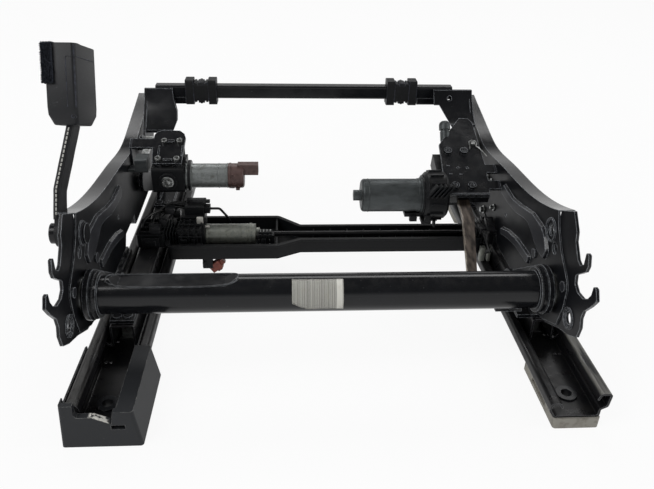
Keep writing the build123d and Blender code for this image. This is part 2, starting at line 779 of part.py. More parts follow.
upper_band = moved([
    (180.0, 23.0), (175.0, 37.5), (139.0, 36.0), (111.0, 40.5), (73.0, 49.5), (44.0, 49.0), (32.0, 43.0),
    (21.0, 32.0),
    (25.0, 19.0), (45.0, 19.0), (65.0, 27.0), (80.0, 32.0), (94.0, 31.0), (120.0, 24.0), (149.0, 21.8),
], tube_at)
lower_band = moved([
    (61.0, 3.0), (105.0, 1.0), (135.0, -5.0), (161.0, -14.0), (159.0, -24.0), (131.0, -16.0),
    (105.0, -11.0), (61.0, -9.0),
], tube_at)
gearbox_top = drive_z + 11.0
arch_top = gearbox_top + 4.0
frame_arch = [
    (drive_y + 28.0, 55.0), (drive_y + 26.0, arch_top), (drive_y - 26.0, arch_top), (drive_y - 36.0, 55.0),
]


def pressed_band(outline):
    """Band pressed inward out of the frame's web, hollow on its outer side."""
    with BuildSketch(Plane.YZ.offset(seat_x + web_inner)) as band:
        with BuildLine():
            FilletPolyline(*outline, radius=4, close=True)
        make_face()
    extrude(band.sketch, amount=-band_depth, taper=band_taper)
    with BuildSketch(Plane.YZ.offset(seat_x + web_outer)) as hollow:
        with BuildLine():
            FilletPolyline(*outline, radius=4, close=True)
        make_face()
        offset(amount=-frame_sheet)
    extrude(hollow.sketch, amount=-band_depth, taper=band_taper, mode=Mode.SUBTRACT)


with BuildPart() as side_frame_right:
    with BuildSketch(Plane.YZ.offset(seat_x + web_inner)):
        with BuildLine():
            top_curve = Spline(*frame_top, tangents=[(1, -0.36), (1, 0.25)])
            Polyline(frame_top[-1], *low_front, *frame_arch, *low_rear, frame_top[0])
        make_face()
    extrude(amount=frame_sheet)
    with BuildSketch(Plane.YZ.offset(seat_x + web_inner)):
        with BuildLine():
            upper_curve = Spline(*frame_top, tangents=[(1, -0.36), (1, 0.25)])
            lower_curve = Spline(
                *[(y, z - frame_sheet) for y, z in frame_top], tangents=[(1, -0.36), (1, 0.25)]
            )
            Line(upper_curve @ 0, lower_curve @ 0)
            Line(upper_curve @ 1, lower_curve @ 1)
        make_face()
    extrude(amount=frame_sheet + flange_width)
    for run in (low_front[:-1] + [frame_arch[0]], [frame_arch[-1], (tube_y + 76.0, low_rear[0][1])]):
        plate_x(
            seat_x + web_inner, seat_x + web_outer + low_flange,
            run + [(y, z + frame_sheet) for y, z in reversed(run)],
        )
    for outline in (upper_band, lower_band):
        pressed_band(outline)
    bar_x(seat_x + web_inner - collar_stands, seat_x + web_inner, upper_hook_hole, collar_radius)
    bar_x(
        seat_x + web_inner - collar_stands - 1, seat_x + web_inner, upper_hook_hole, collar_bore,
        Mode.SUBTRACT,
    )
    bar_x(
        seat_x + web_inner - 1, seat_x + web_outer + 1, tooling_hole, small_hole_radius + 1.0, Mode.SUBTRACT,
    )
    bar_x(seat_x + web_inner - 1, seat_x + web_outer + 1, tube_at, bush_radius, Mode.SUBTRACT)
    bar_x(
        seat_x + web_inner - 1, seat_x + web_outer + 1, front_tube_pivot, stud_radius + free_gap,
        Mode.SUBTRACT,
    )
    bar_x(seat_x + web_inner - 1, seat_x + web_outer + 1, tilt_pivot, pin_radius, Mode.SUBTRACT)

side_frame_left = mirrored(side_frame_right, Plane.YZ.offset(seat_x))

# Recliner brackets outside the frames, each with two open hooks at the rear
recliner_outline = moved([
    (-9.0, 92.5), (-23.0, 78.0), (-25.0, 69.0), (-37.0, 56.5), (-43.5, 54.5), (-49.5, 59.0),
    (-49.5, 71.5), (-54.5, 71.5),
    (-58.0, 62.0), (-56.0, 55.0), (-49.0, 49.0), (-40.0, 42.0), (-42.0, 34.0), (-50.0, 29.5),
    (-62.0, 30.5), (-71.0, 36.5),
    (-75.0, 43.0), (-75.5, 52.5), (-80.5, 52.5), (-86.0, 43.5), (-79.0, 33.0), (-69.0, 21.0),
    (-67.5, 12.0), (-70.5, 3.5),
    (-68.0, -9.0), (-54.0, -17.0), (-30.0, -26.0), (-2.0, -40.0), (22.0, -43.0), (70.0, -20.0),
    (72.0, 30.0), (48.0, 62.0),
    (22.0, 71.5), (16.5, 74.5), (16.5, 80.5),
], tube_at)
recliner_rivets = moved([(54.0, 10.0), (-26.0, 20.0), (38.0, -24.0)], tube_at)

with BuildPart() as recliner_bracket_right:
    plate_x(seat_x + web_outer, seat_x + web_outer + recliner_thick, recliner_outline, 1.6)
    bar_x(seat_x + web_outer - collar_stands, seat_x + web_outer, lower_hook_hole, collar_radius - 1.8)
    bar_x(
        seat_x + web_outer - collar_stands - 1, seat_x + web_outer, lower_hook_hole, collar_bore - 2.0,
        Mode.SUBTRACT,
    )
    for centre in (upper_hook_hole, lower_hook_hole):
        bar_x(
            seat_x + web_outer - 1, seat_x + web_outer + recliner_thick + 1, centre, hook_hole_radius,
            Mode.SUBTRACT,
        )
    with BuildSketch(Plane.YZ.offset(seat_x + web_outer - 1)):
        with Locations(middle_hole):
            Rectangle(9.0, 9.0, rotation=45)
    extrude(amount=recliner_thick + 2, mode=Mode.SUBTRACT)
    for centre in recliner_rivets:
        bar_x(
            seat_x + web_outer - 1, seat_x + web_outer + recliner_thick + 1, centre, rivet_radius,
            Mode.SUBTRACT,
        )
    bar_x(
        seat_x + web_outer - 1, seat_x + web_outer + recliner_thick + 1, tube_at, bush_radius + 3.0,
        Mode.SUBTRACT,
    )

recliner_bracket_left = mirrored(recliner_bracket_right, Plane.YZ.offset(seat_x))

with BuildPart() as right_rivets:
    for centre in recliner_rivets:
        bar_x(seat_x + web_inner, seat_x + web_outer + recliner_thick, centre, rivet_radius)
        bar_x(seat_x + web_inner - 1.6, seat_x + web_inner, centre, rivet_radius + 2.2)
        bar_x(
            seat_x + web_outer + recliner_thick, seat_x + web_outer + recliner_thick + 1.6, centre,
            rivet_radius + 2.2,
        )

with BuildPart() as frame_rivets:
    add(right_rivets.part)
    mirror(right_rivets.part, about=Plane.YZ.offset(seat_x))

# The rivets and the outer holes pass through the frame's web as well
for frame, side in ((side_frame_right, 1), (side_frame_left, -1)):
    with frame:
        for centre in recliner_rivets:
            bar_x(
                seat_x + side * (web_inner - 1), seat_x + side * (web_outer + 1), centre, rivet_radius,
                Mode.SUBTRACT,
            )
        for centre in (upper_hook_hole, middle_hole):
            bar_x(
                seat_x + side * (web_inner - 1), seat_x + side * (web_outer + 1), centre,
                hook_hole_radius, Mode.SUBTRACT,
            )

# Flanged bushes that carry the torque tube's journals
with BuildPart() as frame_bushes:
    for side in (-1, 1):
        bar_x(seat_x + side * web_inner, seat_x + side * (web_outer + 3.0), tube_at, bush_radius)
        bar_x(seat_x + side * (web_inner - 1.5), seat_x + side * web_inner, tube_at, bush_radius + 3.0)
    bush_end = web_outer + 10.0
    bar_x(seat_x - bush_end, seat_x + bush_end, tube_at, journal_radius + running_gap, Mode.SUBTRACT)

# Pins in the frames on which the front arms tilt
cheek_outer = 226.0
cheek_inner = cheek_outer - arm_thick
tilt_pin_at = (tilt_pivot_y - tilt_pin_back, tilt_pivot_z + tilt_pin_up)
with BuildPart() as tilt_pivot_pins:
    for side in (-1, 1):
        bar_x(seat_x + side * (cheek_inner - 0.4), seat_x + side * web_outer, tilt_pivot, pin_radius)
        bar_x(
            seat_x + side * (cheek_inner - 3.0), seat_x + side * (cheek_inner - 0.4), tilt_pivot,
            pin_radius + 2.5,
        )
        bar_x(seat_x + side * web_outer, seat_x + side * (web_outer + 2.0), tilt_pivot, pin_radius + 2.5)

# Height drive on the right: motor, round gear case, housing of the rod and the sloping plate that holds them
plate_slope = 23.0
height_plate_low = (height_motor_y - 2.0, height_motor_z + 1.5)
height_plane = Plane(
    origin=(0, height_plate_low[0], height_plate_low[1]),
    x_dir=(1, 0, 0),
    z_dir=(0, -sin(radians(plate_slope)), cos(radians(plate_slope))),
)
height_case_left = height_can_left + height_can_length
height_case_right = height_case_left + height_case_width
housing_left = height_case_right - 2.0
housing_right = rod_left + rod_crank + rod_width + 8.0
housing_start = (height_motor_y + 4.0 - lever_end[0]) / cos(radians(rod_slope))
housing_end = rod_length + 24.0
channel_low = -rod_thick / 2 - 4.8
channel_high = rod_thick / 2 + 1.0

plate_right = seat_x + web_inner
height_plate_outline = [
    (height_case_right + free_gap, 0.0), (197.0, 0.0), (197.0, 6.0), (plate_right, 6.0),
    (plate_right, 20.0), (199.0, 20.0), (199.0, 34.0),
    (plate_right, 34.0), (plate_right, 48.0), (200.0, 48.0), (197.0, 126.0), (192.0, 134.0), (180.0, 134.0),
    (146.0, 84.0),
]
height_bolt_places = [(155.0, 10.0), (176.0, 10.0), (155.0, 70.0), (176.0, 70.0)]

with BuildPart() as height_motor_can:
    bar_x(height_can_left, height_case_left, (height_motor_y, height_motor_z), height_can_radius)
    fillet(height_motor_can.edges().group_by(Axis.X)[0], 4)
    bar_x(height_can_left - 9.0, height_can_left, (height_motor_y, height_motor_z), 6.5)

with BuildPart() as height_gearcase:
    bar_x(height_case_left, height_case_right, (height_motor_y, height_motor_z), height_case_radius)
    chamfer(height_gearcase.edges().filter_by(GeomType.CIRCLE), 3.0)
    with BuildSketch(Plane.YZ.offset(height_case_left + 6.0)):
        with Locations((height_motor_y, height_motor_z)):
            with PolarLocations(height_case_radius + 0.5, 14):
                Rectangle(4.0, 2.4)
    extrude(amount=height_case_right - height_case_left - 12.0)
    with BuildSketch(rod_plane.offset(channel_low - 3.5)):
        with BuildLine():
            Polyline(
                (housing_left, housing_start), (housing_right, housing_start), (housing_right, housing_end),
                (housing_left, housing_end), close=True,
            )
        make_face()
    extrude(amount=channel_high - channel_low + 7.0)
    for x, s in height_bolt_places:
        y = height_plate_low[0] + s * cos(radians(plate_slope))
        bar_z(height_motor_z - 5.0, height_motor_z + 60.0, (x, y), boss_radius)
    cut_left = height_plate_outline[0][0]
    on_plane(height_plane, [(cut_left, -40), (210, -40), (210, 160), (cut_left, 160)], 80.0, Mode.SUBTRACT)
    with BuildSketch(rod_plane.offset(channel_low)):
        with BuildLine():
            Polyline(
                (rod_left + rod_crank - 3.5, housing_start - 1),
                (rod_left + rod_crank + rod_width + 3.5, housing_start - 1),
                (rod_left + rod_crank + rod_width + 3.5, rod_length + 6),
                (rod_left + rod_crank - 3.5, rod_length + 6),
                close=True,
            )
        make_face()
    extrude(amount=channel_high - channel_low, mode=Mode.SUBTRACT)
    with BuildSketch(Plane.XY.offset(height_motor_z - height_case_radius - 4.0)):
        with Locations((height_case_left + 10.0, height_motor_y)):
            Rectangle(20.0, 14.0)
    extrude(amount=10.0)

with BuildPart() as height_bracket_plate:
    with BuildSketch(height_plane):
        with BuildLine():
            Polyline(*height_plate_outline, close=True)
        make_face()
        with Locations(*height_bolt_places):
            Circle(screw_radius, mode=Mode.SUBTRACT)
        with Locations((164.0, 42.0), (176.0, 42.0)):
            Circle(1.6, mode=Mode.SUBTRACT)
    extrude(amount=plate_sheet)
    block(
        (height_plate_outline[0][0], height_plate_outline[1][0]),
        (height_plate_low[0] - plate_sheet, height_plate_low[0]),
        (height_plate_low[1] - 2.5, height_plate_low[1] + plate_sheet - 0.3),
    )

# Tilt drive on the left, built the same way with a smaller motor
tilt_slope = 26.0
tilt_tab = (31.0, 46.0)
tilt_leg = 27.0
tilt_plate_low = (tilt_motor_y - 18.0, tilt_motor_z + 18.5)
tilt_plane = Plane(
    origin=(0, tilt_plate_low[0], tilt_plate_low[1]),
    x_dir=(1, 0, 0),
    z_dir=(0, -sin(radians(tilt_slope)), cos(radians(tilt_slope))),
)
tilt_case_left = -220.0
tilt_case_right = -180.0
tilt_screw_places = [(-211.0, 10.0), (-188.0, 10.0), (-206.0, 40.0), (-187.0, 40.0)]

with BuildPart() as tilt_motor_can:
    bar_x(tilt_can_left, tilt_can_left + tilt_can_length, (tilt_motor_y, tilt_motor_z), tilt_can_radius)
    bar_x(tilt_case_right, tilt_can_left, (tilt_motor_y, tilt_motor_z), tilt_can_radius + 2.0)

tilt_cap_left = tilt_can_left + tilt_can_length
with BuildPart() as tilt_motor_cap:
    bar_x(tilt_cap_left, tilt_cap_left + 20.0, (tilt_motor_y, tilt_motor_z), tilt_can_radius + 0.3)
    fillet(tilt_motor_cap.edges().group_by(Axis.X)[-1], 3)
    block(
        (tilt_cap_left + 12.0, tilt_cap_left + 38.0), (tilt_motor_y - 6.0, tilt_motor_y + 6.0),
        (tilt_motor_z + 3.0, tilt_motor_z + 16.5),
    )
    block(
        (tilt_cap_left + 22.0, tilt_cap_left + 39.0), (tilt_motor_y - 4.5, tilt_motor_y + 4.5),
        (tilt_motor_z + 5.0, tilt_motor_z + 14.5), Mode.SUBTRACT,
    )

with BuildPart() as tilt_gearcase:
    block(
        (tilt_case_left, tilt_case_right), (tilt_motor_y - 17.0, tilt_motor_y + 17.0),
        (tilt_motor_z - 17.0, tilt_motor_z + 17.0),
    )
    fillet(tilt_gearcase.edges().filter_by(Axis.X), 5)
    bar_y(
        tilt_motor_y - 21.0, tilt_motor_y - 16.0, ((tilt_case_left + tilt_case_right) / 2, tilt_motor_z),
        11.0,
    )
    block(
        (tilt_case_left + 4.0, tilt_case_right), (tilt_motor_y - 10.0, tilt_motor_y + 30.0),
        (tilt_motor_z - 6.0, tilt_motor_z + 17.0),
    )
    for x, s in tilt_screw_places:
        y = tilt_plate_low[0] + s * cos(radians(tilt_slope))
        bar_z(tilt_motor_z + 5.0, tilt_motor_z + 50.0, (x, y), boss_radius)
    on_plane(tilt_plane, [(-230, -40), (-170, -40), (-170, 120), (-230, 120)], 60.0, Mode.SUBTRACT)

frame_left_inner = seat_x - web_inner
tilt_plate_outline = [
    (-182.0, 4.0), (-180.0, 48.0), (-182.0, 54.5), (-188.0, 60.0), (-209.0, 61.0), (-216.0, 58.5),
    (-219.5, 53.0),
    (-220.0, tilt_tab[1]),
    (frame_left_inner, tilt_tab[1]), (frame_left_inner, tilt_tab[0]), (-220.0, tilt_tab[0]), (-218.0, 4.0),
]
with BuildPart() as tilt_bracket_plate:
    with BuildSketch(tilt_plane):
        with BuildLine():
            Polyline(*tilt_plate_outline, close=True)
        make_face()
        with Locations(*tilt_screw_places):
            Circle(screw_radius, mode=Mode.SUBTRACT)
    extrude(amount=plate_sheet)
    leg_y = [tilt_plate_low[0] + s * cos(radians(tilt_slope)) for s in tilt_tab]
    leg_z = tilt_plate_low[1] + tilt_tab[0] * sin(radians(tilt_slope)) + 2.0
    block((frame_left_inner, frame_left_inner + plate_sheet), leg_y, (leg_z - tilt_leg, leg_z))

# Bolts of both drives, with a shallow socket in each head
def socket_screws(plane, places, head_radius, hex_radius):
    """Round headed screws through a drive's plate."""
    with BuildPart() as screws:
        with BuildSketch(plane):
            with Locations(*places):
                Circle(screw_radius)
        extrude(amount=plate_sheet)
        with BuildSketch(plane.offset(plate_sheet)):
            with Locations(*places):
                Circle(head_radius)
        extrude(amount=screw_head)
        with BuildSketch(plane.offset(plate_sheet + screw_head)):
            with Locations(*places):
                RegularPolygon(hex_radius, 6)
        extrude(amount=-2.0, mode=Mode.SUBTRACT)
    return screws


height_drive_screws = socket_screws(height_plane, height_bolt_places, screw_head_radius, socket_radius)
tilt_drive_screws = socket_screws(tilt_plane, tilt_screw_places, tilt_screw_head_radius, tilt_socket_radius)

# Front tube with thicker sleeves at both ends
tube_low = front_tube_z - front_tube_height / 2
sleeve_drop = 8.0


def front_bar(x0, x1, low, high, depth, mode=Mode.ADD):
    """Square bar along X at the front tube's place."""
    with BuildSketch(Plane.YZ.offset(x0)) as bar:
        with Locations((front_tube_y, (low + high) / 2)):
            RectangleRounded(depth, high - low, 3)
    extrude(bar.sketch, amount=x1 - x0, mode=mode)


with BuildPart() as front_tube:
    front_bar(front_tube_left, front_tube_right, tube_low, tube_low + front_tube_height, front_tube_depth)
    front_bar(front_tube_left, seat_x - 171.5, tube_low - sleeve_drop, tube_low + 4.0, front_tube_depth)
    front_bar(seat_x + 150.5, seat_x + 180.0, tube_low - sleeve_drop, tube_low + 4.0, front_tube_depth)
    front_bar(
        front_tube_left - 1, front_tube_right + 1,
        tube_low + 2, tube_low + front_tube_height - 2, front_tube_depth - 4, Mode.SUBTRACT,
    )


def tilt_arm(side, reach, drop):
    """Bent arm: a cheek on the tilt pivot and a curved web that runs up to the front tube."""
    cheek = sorted((seat_x + side * cheek_inner, seat_x + side * cheek_outer))
    wide = sorted((seat_x + side * (cheek_outer - reach), seat_x + side * cheek_outer))
    under = tube_low - sleeve_drop
    link_plate(cheek[0], cheek[1], tilt_pivot, 12.0, (front_tube_y - 4.0, front_tube_z - 10.0), 14.0)
    bar_x(cheek[0] - 1, cheek[1] + 1, tilt_pivot, pin_radius + running_gap, Mode.SUBTRACT)
    start = (front_tube_y - front_tube_depth / 2, front_tube_z + 6.0)
    middle = (front_tube_y - 24.0, under - 2.0)
    end = (tilt_pivot_y + 4.0, tilt_pivot_z + 27.0 - drop)
    with BuildSketch(Plane.YZ.offset(wide[0])) as web:
        with BuildLine():
            outer_arc = ThreePointArc(start, middle, end)
            inner_arc = ThreePointArc(
                (start[0] - arm_thick, start[1]), (middle[0] - arm_thick * 0.8, middle[1] + arm_thick * 0.9),
                (end[0], end[1] + arm_thick),
            )
            Line(outer_arc @ 0, inner_arc @ 0)
            Line(outer_arc @ 1, inner_arc @ 1)
        make_face()
    extrude(web.sketch, amount=wide[1] - wide[0])


with BuildPart() as front_arm_left:
    tilt_arm(-1, left_arm_reach, 9.0)
    profile_y(tilt_pivot_y - 10.0, front_tube_y - front_tube_depth / 2, [
        (-207.0, 203.0), (-205.0, 188.0), (-199.5, 173.0), (-199.0, 163.0), (-203.0, 154.0), (-212.0, 147.0),
        (-190.0, 147.0), (-190.0, 203.0),
    ], Mode.SUBTRACT)
    link_plate(seat_x - cheek_outer, seat_x - cheek_inner, tilt_pivot, 9.0, tilt_pin_at, 8.0)
    bar_x(
        seat_x - cheek_outer - 1, seat_x - cheek_inner + 1, tilt_pivot, pin_radius + running_gap,
        Mode.SUBTRACT,
    )
    bar_x(seat_x - cheek_inner, seat_x - cheek_inner + 14.0, tilt_pin_at, lever_pin_radius)

with BuildPart() as front_arm_right:
    tilt_arm(1, right_arm_reach, 0.0)
    profile_y(tilt_pivot_y - 10.0, front_tube_y - front_tube_depth / 2, [
        (150.0, 181.0), (161.0, 181.0), (181.0, 150.0), (181.0, 140.0), (150.0, 140.0),
    ], Mode.SUBTRACT)
    bar_y(
        front_tube_y - 30.0, front_tube_y - front_tube_depth / 2, (176.0, front_tube_z - 4.0),
        screw_radius, Mode.SUBTRACT,
    )

# Clips with rubbery lobes on the front tube, in two sets
clip_height = 34.0
clip_depth = 22.0
with BuildPart() as clip_bushes:
    for centre in (seat_x - 150.3, seat_x + 127.6):
        for dx, width in ((-21.0, 11.0), (10.0, 11.0)):
            x0 = centre + dx
            front_bar(
                x0, x0 + width, front_tube_z - clip_height / 2, front_tube_z + clip_height / 2, clip_depth,
            )
        front_bar(centre - 4.0, centre + 4.0, front_tube_z - 15.0, front_tube_z + 14.0, clip_depth - 2.0)
        front_bar(
            centre - 10.5, centre + 10.5, tube_low - 3.0, tube_low + front_tube_height + 3.0,
            front_tube_depth + 5.0,
        )
    front_bar(
        seat_x - 200.0, seat_x + 200.0, tube_low, tube_low + front_tube_height, front_tube_depth,
        Mode.SUBTRACT,
    )

# Tilt rod and the plated guide that it slides in
tilt_rod_x = (seat_x - cheek_inner + 4.0, seat_x - cheek_inner + 12.0)
tilt_rod_end = tilt_motor_y - 6.0
rod_drop = 6.0
guide_down = 7.0
guide_up = 4.5
guide_z = tilt_pin_at[1] - rod_drop
with BuildPart() as tilt_rod:
    plate_x(tilt_rod_x[0], tilt_rod_x[1], [
        (tilt_pin_at[0], tilt_pin_at[1] + 2.5), (tilt_pin_at[0], tilt_pin_at[1] - 2.5),
        (tilt_rod_end, tilt_pin_at[1] - 2.5 - rod_drop), (tilt_rod_end, tilt_pin_at[1] + 2.5 - rod_drop),
    ])
    bar_x(tilt_rod_x[0], tilt_rod_x[1], tilt_pin_at, 7.0)
    bar_x(tilt_rod_x[0] - 1, tilt_rod_x[1] + 1, tilt_pin_at, lever_pin_radius + running_gap, Mode.SUBTRACT)

with BuildPart() as tilt_guide:
    block(
        (tilt_rod_x[0] - 3.5, tilt_rod_x[1] + 3.5), (tilt_motor_y - 15.0, tilt_motor_y + 8.0),
        (guide_z - guide_down - 3.0, guide_z + guide_up + 3.0),
    )
    fillet(tilt_guide.edges().filter_by(Axis.X), 2)
    block(
        (tilt_rod_x[0] - 1.5, tilt_rod_x[1] + 1.5), (tilt_motor_y - 12.0, tilt_motor_y + 9.0),
        (guide_z - guide_down, guide_z + guide_up), Mode.SUBTRACT,
    )
    block(
        (frame_left_inner, tilt_rod_x[0] - 3.5), (tilt_motor_y - 12.0, tilt_motor_y + 4.0),
        (guide_z - guide_down - 3.0, guide_z - guide_down),
    )

# Belt buckle: a bolted stalk, the buckle shell and the release button
anchor = upper_hook_hole
recliner_left = seat_x - web_outer - recliner_thick
stalk_x = recliner_left - 15.5
stalk_top = (stalk_x + stalk_lean_in, anchor[0] + stalk_reach * sin(radians(stalk_slope)),
             anchor[1] + stalk_reach * cos(radians(stalk_slope)))
bend_z = anchor[1] + 36.0
stalk_plane = Plane(
    origin=(stalk_x - 10.0, anchor[0], anchor[1]),
    x_dir=(0, cos(radians(stalk_slope)), -sin(radians(stalk_slope))),
    z_dir=(1, 0, 0),
)
lean_line = [
    (stalk_x, anchor[1] - 30.0), (stalk_x, bend_z), (stalk_top[0], stalk_top[2]),
    (stalk_top[0] + 1.0, stalk_top[2] + 20.0),
]

with BuildPart() as stalk_shape:
    with BuildSketch(across(anchor[0] - 40.0)):
        with BuildLine():
            FilletPolyline(*lean_line, radius=12)
            offset(amount=stalk_thick / 2, side=Side.BOTH)
        make_face()
    extrude(amount=-200.0)

with BuildPart() as buckle_stalk:
    with BuildSketch(stalk_plane):
        Circle(stalk_width / 2 + 2.0)
        with Locations((0, (stalk_reach + 8.0) / 2)):
            Rectangle(stalk_width, stalk_reach + 8.0)
        Circle(anchor_bolt_radius + running_gap, mode=Mode.SUBTRACT)
    extrude(amount=60.0)
    add(stalk_shape.part, mode=Mode.INTERSECT)

with BuildPart() as buckle_anchor_bolt:
    bar_x(seat_x - web_inner, recliner_left, anchor, hook_hole_radius)
    bar_x(seat_x - web_inner + 5.0, seat_x - web_inner, anchor, anchor_bolt_radius + 4.0)
    bar_x(recliner_left, stalk_x + stalk_thick / 2 + free_gap, anchor, anchor_bolt_radius + 3.5)
    bar_x(
        stalk_x + stalk_thick / 2 + free_gap, stalk_x - stalk_thick / 2 - free_gap, anchor,
        anchor_bolt_radius,
    )
    bar_x(
        stalk_x - stalk_thick / 2 - free_gap, stalk_x - stalk_thick / 2 - 6.0, anchor,
        anchor_bolt_radius + 4.0,
    )
    with BuildSketch(Plane.YZ.offset(stalk_x - stalk_thick / 2 - 6.0)):
        with Locations(anchor):
            RegularPolygon(5.0, 6)
    extrude(amount=3.0, mode=Mode.SUBTRACT)

buckle_plane = Plane(
    origin=stalk_top,
    x_dir=(1, 0, 0),
    z_dir=(0, sin(radians(buckle_lean)), cos(radians(buckle_lean))),
)
button_at = (0.0, -buckle_depth / 2 + 13.0)
button_bottom = buckle_height - button_height

with BuildPart() as buckle_body:
    with BuildSketch(buckle_plane):
        RectangleRounded(buckle_width - 4.0, buckle_depth - 12.0, 6)
    with BuildSketch(buckle_plane.offset(buckle_neck)):
        RectangleRounded(buckle_width, buckle_depth, 6)
    loft()
    with BuildSketch(buckle_plane.offset(buckle_neck)):
        RectangleRounded(buckle_width, buckle_depth, 6)
    extrude(amount=buckle_height - buckle_neck)
    with BuildSketch(buckle_plane.offset(buckle_height)):
        with Locations(button_at):
            Rectangle(button_width + 2 * free_gap, button_depth + 2 * free_gap)
    extrude(amount=-button_height, mode=Mode.SUBTRACT)
    with BuildSketch(buckle_plane.offset(buckle_height)):
        with Locations((0, 8.0)):
            Rectangle(slot_width, 2.8)
    extrude(amount=-24.0, mode=Mode.SUBTRACT)
    add(buckle_stalk.part, mode=Mode.SUBTRACT)

with BuildPart() as buckle_button:
    with BuildSketch(buckle_plane.offset(button_bottom + button_travel + free_gap)):
        with Locations(button_at):
            Rectangle(button_width, button_depth)
    extrude(amount=button_height - button_travel - free_gap + 0.5)
    chamfer(buckle_button.edges().group_by(Axis.Z)[-1], 0.5)

# Everything is written out under its node name
pieces = {
    "lower_rail_left": lower_rail_left,
    "lower_rail_right": lower_rail_right,
    "rail_feet": rail_feet,
    "foot_eyelets": foot_eyelets,
    "rear_end_cover": rear_end_cover,
    "track_spindles": track_spindles,
    "spindle_holders": spindle_holders,
    "ball_cages": ball_cages,
    "track_balls": track_balls,
    "upper_rail_left": upper_rail_left,
    "upper_rail_right": upper_rail_right,
    "rear_brackets": rear_brackets,
    "front_brackets": front_brackets,
    "bracket_rivets": bracket_rivets,
    "link_pivot_pins": link_pivot_pins,
    "slide_gearbox_left": slide_gearbox_left,
    "slide_gearbox_right": slide_gearbox_right,
    "drive_nut_left": drive_nut_left,
    "drive_nut_right": drive_nut_right,
    "drive_shaft": drive_shaft,
    "slide_motor_can": slide_motor_can,
    "slide_motor_case": slide_motor_case,
    "cross_carrier": cross_carrier,
    "motor_plug": motor_plug,
    "motor_lead": motor_lead,
    "loom_clip": loom_clip,
    "loom_connector": loom_connector,
    "rear_torque_tube": rear_torque_tube,
    "rear_link_left": rear_link_left,
    "rear_link_right": rear_link_right,
    "front_links": front_links,
    "tube_lever": tube_lever,
    "height_rod": height_rod,
    "side_frame_left": side_frame_left,
    "side_frame_right": side_frame_right,
    "recliner_bracket_left": recliner_bracket_left,
    "recliner_bracket_right": recliner_bracket_right,
    "frame_rivets": frame_rivets,
    "frame_bushes": frame_bushes,
    "tilt_pivot_pins": tilt_pivot_pins,
    "height_motor_can": height_motor_can,
    "height_gearcase": height_gearcase,
    "height_bracket_plate": height_bracket_plate,
    "tilt_motor_can": tilt_motor_can,
    "tilt_motor_cap": tilt_motor_cap,
    "tilt_gearcase": tilt_gearcase,
    "tilt_bracket_plate": tilt_bracket_plate,
    "height_drive_screws": height_drive_screws,
    "tilt_drive_screws": tilt_drive_screws,
    "front_tube": front_tube,
    "front_arm_left": front_arm_left,
    "front_arm_right": front_arm_right,
    "clip_bushes": clip_bushes,
    "tilt_rod": tilt_rod,
    "tilt_guide": tilt_guide,
    "buckle_stalk": buckle_stalk,
    "buckle_anchor_bolt": buckle_anchor_bolt,
    "buckle_body": buckle_body,
    "buckle_button": buckle_button,
}

os.makedirs("parts", exist_ok=True)
for name, piece in pieces.items():
    piece.part.label = name
    export_step(piece.part, f"parts/{name}.step")
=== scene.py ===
import json
import math

import bmesh
import bpy
from bpy.props import FloatProperty, FloatVectorProperty, IntProperty, PointerProperty
from mathutils import Matrix, Vector, noise


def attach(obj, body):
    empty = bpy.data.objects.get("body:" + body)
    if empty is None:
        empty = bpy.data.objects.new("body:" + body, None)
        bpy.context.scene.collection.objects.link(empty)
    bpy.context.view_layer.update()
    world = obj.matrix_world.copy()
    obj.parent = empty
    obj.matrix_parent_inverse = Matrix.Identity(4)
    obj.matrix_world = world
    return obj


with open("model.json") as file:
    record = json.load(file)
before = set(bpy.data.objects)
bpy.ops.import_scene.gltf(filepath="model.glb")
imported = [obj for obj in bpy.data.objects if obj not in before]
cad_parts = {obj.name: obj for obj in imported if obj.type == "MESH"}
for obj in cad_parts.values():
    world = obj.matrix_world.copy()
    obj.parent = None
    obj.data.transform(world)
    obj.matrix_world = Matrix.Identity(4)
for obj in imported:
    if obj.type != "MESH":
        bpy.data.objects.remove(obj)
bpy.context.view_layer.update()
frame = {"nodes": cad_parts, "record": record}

bl_info = {
    "name": "Powered seat base",
    "version": (1, 0, 0),
    "blender": (4, 5, 0),
    "location": "View3D > Sidebar > Seat base",
    "description": "Finishes and small pieces of a powered front seat base",
    "category": "Object",
}

NODES = frame["nodes"]
MM = 0.001

# Places that follow the solids, in metres: the rails stand either side of the middle, and the seat
# frame with its torque tube stands a little left of it
RAIL_X = 0.2245
LIP_TOP = 0.0407
SEAT_X = -0.018
WEB_INNER = 0.2311
TUBE = Vector((SEAT_X, -0.165, 0.100))
TUBE_RADIUS = 0.019
TUBE_ENDS = (-0.236, 0.198)

# The belt buckle: its strap's bolt and upper end, how the buckle leans and turns on it, half its width
# and depth, and how far above the bolt the strap starts to lean inwards
ANCHOR = Vector((-0.2694, -0.139, 0.154))
STRAP_TOP = Vector((-0.2564, -0.087, 0.24407))
STRAP_SLOPE = math.radians(30)
BUCKLE_LEAN = math.radians(22)
BUCKLE_YAW = math.radians(-9)
SHELL_HALF = Vector((0.0150, 0.0221))
STRAIGHT_STRAP = 0.036

# The camera, fitted to the straight lines of the photograph: its focal length in the photograph's
# pixels, its place and its axes
PHOTO_WIDTH = 654.0
FOCAL_PIXELS = 660.9
CAMERA_PLACE = Vector((-0.0520, -0.7095, 0.4647))
CAMERA_RIGHT = Vector((0.99815532, -0.05640568, 0.02245784))
CAMERA_UP = Vector((0.00843694, 0.4951894, 0.86874408))
CAMERA_AHEAD = Vector((0.06012298, 0.86695205, -0.49475183))


def hex_colour(text):
    """Linear colour of an sRGB hex value, with its alpha."""
    parts = [int(text[i:i + 2], 16) / 255 for i in (1, 3, 5)]
    return (*(p / 12.92 if p <= 0.04045 else ((p + 0.055) / 1.055) ** 2.4 for p in parts), 1.0)


